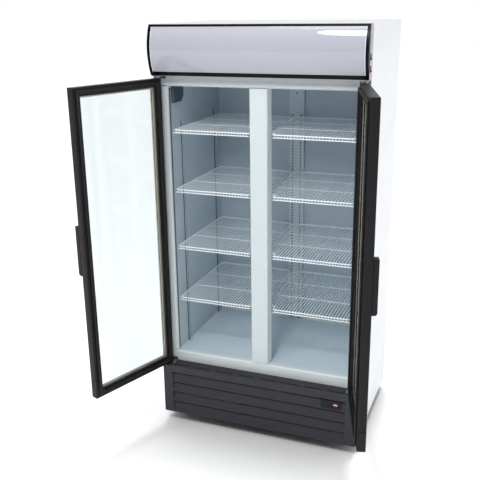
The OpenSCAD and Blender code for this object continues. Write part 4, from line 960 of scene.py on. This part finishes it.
def wire_shelf(low, high, sizes):
    """A welded shelf for the right bay: a bent frame rod, a lower front rail, two cross wires and
    the deck wires, each bent down over the front and ending on the lower rail."""
    r = sizes.frame_rod / 2
    x0, x1 = low.x + r, high.x - r
    y0, y1 = low.y + r, high.y - r
    yn = y0 + sizes.post_depth
    xn = sizes.post_gap
    deck_z = high.z - sizes.deck_wire / 2
    rod_z = high.z - sizes.deck_wire + sizes.weld - r
    rail_z = low.z + sizes.low_rail / 2
    cross_z = deck_z - (sizes.deck_wire + sizes.cross_wire) / 2 + sizes.weld
    up = (0.0, 0.0, 1.0)
    corners = [(xn, y0), (x1, y0), (x1, y1 - sizes.outer_cut), (x1 - sizes.outer_cut, y1),
               (x0 + sizes.inner_cut, y1), (x0, y1 - sizes.inner_cut), (x0, yn), (xn, yn)]
    bend = sizes.frame_rod
    radii = [bend, sizes.front_bend] + [bend] * 6
    loop = rounded_loop([(x, y, rod_z) for x, y in corners], radii)
    parts = [rod(loop, up, sizes.frame_rod, sizes.rod_sides, closed=True),
             rod([(xn, y0, rail_z), (x1, y0, rail_z)], up, sizes.low_rail, sizes.rod_sides)]
    for share in (1 / 3, 2 / 3):
        y = y0 + (y1 - y0) * share
        parts.append(rod([(x0, y, cross_z), (x1, y, cross_z)], up, sizes.cross_wire,
                         sizes.wire_sides))
    count = int((x1 - x0) // sizes.pitch)
    places = x0 + (x1 - x0) / count * np.arange(1, count)
    rear = np.minimum(y1, np.minimum(y1 - sizes.inner_cut + places - x0,
                                     y1 + x1 - sizes.outer_cut - places))
    for x, y in zip(places, rear):
        wire = [(x, y, deck_z), (x, (y + y0) / 2, deck_z)]
        if x > xn:
            foot = (x, y0, rail_z)
            wire += [*fillet((x, y0, deck_z), wire[0], foot, sizes.wire_bend, 4), foot]
        else:
            wire.append((x, yn, deck_z))
        parts.append(rod(wire, (1.0, 0.0, 0.0), sizes.deck_wire, sizes.wire_sides))
    return join(parts)


# Operators


class REFRIGERATOR_OT_finishes(bpy.types.Operator):
    """Gives every node of the frame the finish of its material slot"""

    bl_idname = "refrigerator.finishes"
    bl_label = "Frame Finishes"

    def execute(self, context):
        for name, item in frame["nodes"].items():
            item.data.materials.clear()
            item.data.materials.append(finish_of(SLOT_OF[name]))
        return {"FINISHED"}


class REFRIGERATOR_OT_shelves(bpy.types.Operator):
    """Makes the eight wire shelves"""

    bl_idname = "refrigerator.shelves"
    bl_label = "Wire Shelves"

    def execute(self, context):
        for level in LEVELS:
            low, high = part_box("shelf_%d_right" % level)
            points, faces = wire_shelf(low, high, context.scene.refrigerator.shelves)
            for side, sign in (("left", -1.0), ("right", 1.0)):
                name = "shelf_%d_%s" % (level, side)
                part = points * np.array([sign, 1.0, 1.0]), faces
                new_piece("wire_" + name, part, "shelf_wire", body=name, replaces=[name])
        return {"FINISHED"}


class REFRIGERATOR_OT_doors(bpy.types.Operator):
    """Makes the bars, seals and pulls of the two doors"""

    bl_idname = "refrigerator.doors"
    bl_label = "Doors"

    def execute(self, context):
        doors = context.scene.refrigerator.doors
        for side in ("left", "right"):
            hang = Hang(side)
            body = side + "_door"
            new_piece("door_bars_" + side, door_bars(hang, side, doors), "door_frame", body=body,
                      replaces=["door_frame_" + side])
            new_piece("door_seal_" + side, door_seal(hang, side, doors), "gasket", body=body,
                      replaces=["door_gasket_" + side], angle=math.radians(50))
            new_piece("spacer_line_" + side, spacer_line(hang, side, doors), "spacer",
                      look="void", body=body)
            rounded_copy("door_pull_" + side, "pull_" + side, doors.pull_round, doors.pull_edge,
                         segments=3, body=body)
        return {"FINISHED"}


class REFRIGERATOR_OT_header(bpy.types.Operator):
    """Makes the curved panel"""

    bl_idname = "refrigerator.header"
    bl_label = "Header"

    def execute(self, context):
        panel = self.curved_panel(context.scene.refrigerator.header)
        new_piece("header_face", panel, "header_panel", replaces=["header_panel"])
        return {"FINISHED"}

    def curved_panel(self, sizes):
        """A sheet bent to an arc: y is the arc's centre less the radius times the cosine of the
        angle, z its centre plus the radius times the sine."""
        low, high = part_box("header_panel")
        rim_low, rim_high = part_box("header_trim")
        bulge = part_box("header_box")[0].y - rim_low.y
        rise = (rim_high.z - rim_low.z) / 2
        radius = (rise ** 2 + bulge ** 2) / (2 * bulge)
        centre_y, centre_z = rim_low.y + radius, rim_low.z + rise
        outer = radius - sizes.set_back
        z = np.linspace(low.z, high.z, sizes.steps + 1)
        angle = np.arcsin((z - centre_z) / outer)
        arcs = [np.stack([centre_y - r * np.cos(angle), centre_z + r * np.sin(angle)], -1)
                for r in (outer, outer - sizes.panel)]
        outline = np.concatenate([arcs[0], arcs[1][::-1]])
        rings = []
        for x, inset in ((low.x, sizes.soften), (low.x + sizes.soften, 0.0),
                         (high.x - sizes.soften, 0.0), (high.x, sizes.soften)):
            drawn = outline + (outline.mean(0) - outline) * inset / rise
            rings.append(np.column_stack([np.full(len(outline), x), drawn]))
        count = len(outline)
        pairs = np.arange(count // 2 - 1)
        cap = np.stack([pairs, pairs + 1, count - 2 - pairs, count - 1 - pairs], -1)
        faces = grid_faces(len(rings), count, close_columns=True)
        faces += cap[:, ::-1].tolist() + (cap + (len(rings) - 1) * count).tolist()
        return np.concatenate(rings), faces


class REFRIGERATOR_OT_cabinet(bpy.types.Operator):
    """Rounds the edges of the outer sheets, the grille, the controller and the front strips"""

    bl_idname = "refrigerator.cabinet"
    bl_label = "Cabinet Sheets"

    def execute(self, context):
        sizes = context.scene.refrigerator.body
        for name in ("side_panel_left", "side_panel_right", "top_panel", "header_box",
                     "lamp_driver_box"):
            rounded_copy(name, name + "_sheet", sizes.sheet_round)
        rounded_copy("grille_panel", "grille_front", sizes.grille_round)
        rounded_copy("controller", "controller_case", sizes.grille_round, sizes.case_edge)
        rounded_copy("front_frame", "front_strips", sizes.grille_round)
        return {"FINISHED"}


class REFRIGERATOR_OT_bead(bpy.types.Operator):
    """Lays the sealant bead where the walls meet the floor inside"""

    bl_idname = "refrigerator.bead"
    bl_label = "Sealant Bead"

    def execute(self, context):
        low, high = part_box("inner_liner")
        left, right, rear = low.x + SHEET, high.x - SHEET, high.y - SHEET
        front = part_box("front_frame")[1].y
        floor = low.z + SHEET
        path = np.array([(left, front, floor), (left, rear, floor), (right, rear, floor),
                         (right, front, floor)])
        bead = self.carried(path, context.scene.refrigerator.body.bead)
        new_piece("sealant_bead", bead, "liner", look="sealant")
        return {"FINISHED"}

    def carried(self, path, radius):
        """A quarter-round fillet carried along the foot of three walls: at each corner the bead's
        inner side moves in from both walls by the same amount."""
        angle = np.linspace(0, math.pi / 2, 6)
        inset = np.append(radius * (1 - np.sin(angle)), 0.0)
        inward = np.array([(1, 0), (1, -1), (-1, -1), (-1, 0)])
        rings = path[:, None].repeat(len(inset), 1)
        rings[:, :, :2] += inward[:, None] * inset[:, None]
        rings[:, :, 2] += np.append(radius * (1 - np.cos(angle)), 0.0)
        return rings.reshape(-1, 3), tube_faces(len(path), len(inset))


class REFRIGERATOR_OT_painted_shade(bpy.types.Operator):
    """Puts painted shade behind the slots of the channels and of the ledge: dark strips where the hollows lie in
    shade
    """

    bl_idname = "refrigerator.backing"
    bl_label = "Slot Backing"

    def execute(self, context):
        sizes = context.scene.refrigerator.body
        for name, strips, slot in (("wall", self.wall_strips(sizes), "channel"),
                                   ("centre", self.centre_strips(sizes), "channel"),
                                   ("ledge", self.ledge_strips(sizes), "grille")):
            new_piece(name + "_slot_backing", join(strips), slot, look="void")
        return {"FINISHED"}

    def wall_strips(self, sizes):
        """A strip of painted shade behind the face of each channel on the side walls."""
        margin = sizes.backing_margin
        points = points_of("wall_channels")
        foot, head = points[:, 2].min() + margin, points[:, 2].max() - margin
        face = points[points[:, 0] > 0][:, 0].min() + sizes.backing_depth
        return [block((sign * face, start + margin, foot),
                      (sign * (face + sizes.backing), end - margin, head))
                for start, end in spans(points[:, 1]) for sign in (-1.0, 1.0)]

    def centre_strips(self, sizes):
        """A strip of painted shade behind each of the two slot rows in the faces of the two middle channels."""
        margin, reach = sizes.backing_margin, sizes.slot_reach
        points = points_of("centre_channels")
        foot = points_of("wall_channels")[:, 2].min() + margin
        first, second = spans(points[:, 1])
        strips = []
        for face, inward in ((first[1], -1.0), (second[0], 1.0)):
            head = points[np.abs(points[:, 1] - face) < MERGE][:, 2].max() - margin
            near = face + inward * sizes.backing_depth
            strips += [block((x - reach, near, foot), (x + reach, near + inward * sizes.backing, head))
                       for x in (-sizes.slot_row, sizes.slot_row)]
        return strips

    def ledge_strips(self, sizes):
        """A strip of painted shade in each slot of the ledge, a little below its upper face."""
        points = points_of("grille_panel")
        front, back = points[:, 1].min() + sizes.ledge_edge, points[:, 1].max() - sizes.ledge_edge / 2
        top = points[:, 2].max()
        slots = points[(top - points[:, 2] < MERGE) & (points[:, 1] > front) & (points[:, 1] < back)]
        ends = np.unique(np.round(slots[:, 0], 5)).reshape(-1, 2)
        return [block((x0, slots[:, 1].min(), top - sizes.ledge_depth),
                      (x1, slots[:, 1].max(), top - BEHIND)) for x0, x1 in ends]


class REFRIGERATOR_OT_display(bpy.types.Operator):
    """Puts a lit display in the controller's recess"""

    bl_idname = "refrigerator.display"
    bl_label = "Display"

    def execute(self, context):
        sizes = context.scene.refrigerator.display
        low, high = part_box("controller")
        middle, extent = (low + high) / 2, high - low
        x0, x1 = middle.x + sizes.left * extent.x, middle.x + sizes.right * extent.x
        z0, z1 = middle.z - sizes.reach * extent.z, middle.z + sizes.reach * extent.z
        floor = low.y + sizes.recess
        face = floor - sizes.window
        window = block((x0 + sizes.gap, face, z0 + sizes.gap), (x1 - sizes.gap, floor, z1 - sizes.gap))
        new_piece("display_window", window, "controller", look="display")
        pitch = (x1 - x0) / sizes.pitches
        free = sizes.ends * (z1 - z0)
        rear = face - sizes.lift
        width = sizes.bar_share * pitch
        starts = x0 + pitch * (sizes.first + np.arange(sizes.bars))
        bars = [block((x, rear - sizes.bar_depth, z0 + free), (x + width, rear, z1 - free))
                for x in starts]
        new_piece("display_bars", join(bars), "controller", look="display_lit")
        return {"FINISHED"}


class REFRIGERATOR_OT_stage(bpy.types.Operator):
    """Adds the floor, the surroundings, the lamps and the camera"""

    bl_idname = "refrigerator.stage"
    bl_label = "Stage"

    def execute(self, context):
        scene = context.scene
        sizes = scene.refrigerator.stage
        self.add_floor(scene, sizes)
        self.add_sky(scene, sizes)
        self.add_lamp(scene, "key_lamp", "AREA", sizes.key_power, sizes.key_target, sizes.key_place,
                      shape="ELLIPSE", size=sizes.key_width, size_y=sizes.key_height)
        self.add_lamp(scene, "overhead", "SUN", sizes.sun_power, sizes.sun_aim,
                      angle=sizes.sun_width)
        self.add_lamp(scene, "fill", "SUN", sizes.fill_power, sizes.fill_aim,
                      angle=sizes.fill_width)
        self.add_lamp(scene, "side_lamp", "AREA", sizes.side_power, sizes.side_target,
                      sizes.side_place, shape="SQUARE", size=sizes.side_width)
        self.add_camera(scene, scene.refrigerator.camera)
        scene.view_settings.view_transform = "Standard"
        return {"FINISHED"}

    def add_floor(self, scene, sizes):
        """A large square under the refrigerator."""
        half = sizes.floor_size / 2
        mesh = bpy.data.meshes.new("floor")
        mesh.from_pydata([(-half, -half, 0), (half, -half, 0), (half, half, 0), (-half, half, 0)],
                         [], [(0, 1, 2, 3)])
        floor = bpy.data.objects.new("floor", mesh)
        scene.collection.objects.link(floor)
        finish = Finish("studio_floor", sizes.floor_tone, 0.6, shine=0.2)
        finish.mottle(finish.grain(1.5, 2.0), 0.99, 1.0)
        mesh.materials.append(finish.material)

    def add_sky(self, scene, sizes):
        """Plain surroundings, brighter behind the refrigerator than in front of it."""
        world = bpy.data.worlds.new("studio")
        world.use_nodes = True
        tree = world.node_tree
        sight = node(tree, "ShaderNodeTexCoord").outputs["Generated"]
        depth = node(tree, "ShaderNodeSeparateXYZ", Vector=sight).outputs["Y"]
        blend = ranged(tree, depth, -sizes.sky_blend, sizes.sky_blend, sizes.sky_front,
                       sizes.sky_back)
        background = tree.nodes["Background"]
        feed(tree, background.inputs["Color"], (*sizes.sky_tone, 1.0))
        feed(tree, background.inputs["Strength"], blend)
        scene.world = world

    def add_lamp(self, scene, name, kind, strength, target, place=(0.0, 0.0, 0.0), **looks):
        """A lamp at a place that points at a target; a sun's target is where its light travels."""
        lamp = bpy.data.lights.new(name, kind)
        lamp.energy = strength
        for look, value in looks.items():
            setattr(lamp, look, value)
        item = bpy.data.objects.new(name, lamp)
        scene.collection.objects.link(item)
        item.location = place
        aim = Vector(target) - Vector(place)
        item.rotation_euler = aim.to_track_quat("-Z", "Y").to_euler()

    def add_camera(self, scene, sizes):
        """Looks along the turn and tilt: forward is (-sin turn cos tilt, cos turn cos tilt,
        -sin tilt), and right and up are then rolled about it."""
        turn, tilt, roll = sizes.turn, sizes.tilt, sizes.roll
        forward = Vector((-math.sin(turn) * math.cos(tilt), math.cos(turn) * math.cos(tilt),
                          -math.sin(tilt)))
        level = Vector((math.cos(turn), math.sin(turn), 0.0))
        over = level.cross(forward)
        right = level * math.cos(roll) + over * math.sin(roll)
        up = over * math.cos(roll) - level * math.sin(roll)
        camera = bpy.data.cameras.new("camera")
        camera.lens = sizes.lens
        camera.sensor_width = SENSOR
        camera.clip_end = SIGHT
        item = bpy.data.objects.new("camera", camera)
        scene.collection.objects.link(item)
        turned = Matrix((right, up, -forward)).transposed().to_4x4()
        item.matrix_world = Matrix.Translation(Vector(sizes.place)) @ turned
        scene.camera = item


OPERATORS = (REFRIGERATOR_OT_finishes, REFRIGERATOR_OT_cabinet, REFRIGERATOR_OT_header,
             REFRIGERATOR_OT_shelves, REFRIGERATOR_OT_doors, REFRIGERATOR_OT_bead,
             REFRIGERATOR_OT_painted_shade, REFRIGERATOR_OT_display, REFRIGERATOR_OT_stage)


class REFRIGERATOR_PT_panel(bpy.types.Panel):
    """Lists the steps that build the refrigerator's looks"""

    bl_idname = "REFRIGERATOR_PT_panel"
    bl_label = "Display Refrigerator"
    bl_space_type = "VIEW_3D"
    bl_region_type = "UI"
    bl_category = "Refrigerator"

    def draw(self, context):
        for operator in OPERATORS:
            self.layout.operator(operator.bl_idname)


CLASSES = (CameraSizes, StageSizes, Tones, DoorSizes, ShelfSizes, HeaderSizes, BodySizes,
           DisplaySizes, Refrigerator, *OPERATORS, REFRIGERATOR_PT_panel)


def register():
    """Registers the classes and gives the scene its sizes."""
    for item in CLASSES:
        bpy.utils.register_class(item)
    bpy.types.Scene.refrigerator = PointerProperty(type=Refrigerator)


def unregister():
    """Takes the sizes and the classes away again."""
    del bpy.types.Scene.refrigerator
    for item in reversed(CLASSES):
        bpy.utils.unregister_class(item)


def main():
    register()
    for operator in OPERATORS:
        group, name = operator.bl_idname.split(".")
        getattr(getattr(bpy.ops, group), name)()


if __name__ == "__main__":
    main()
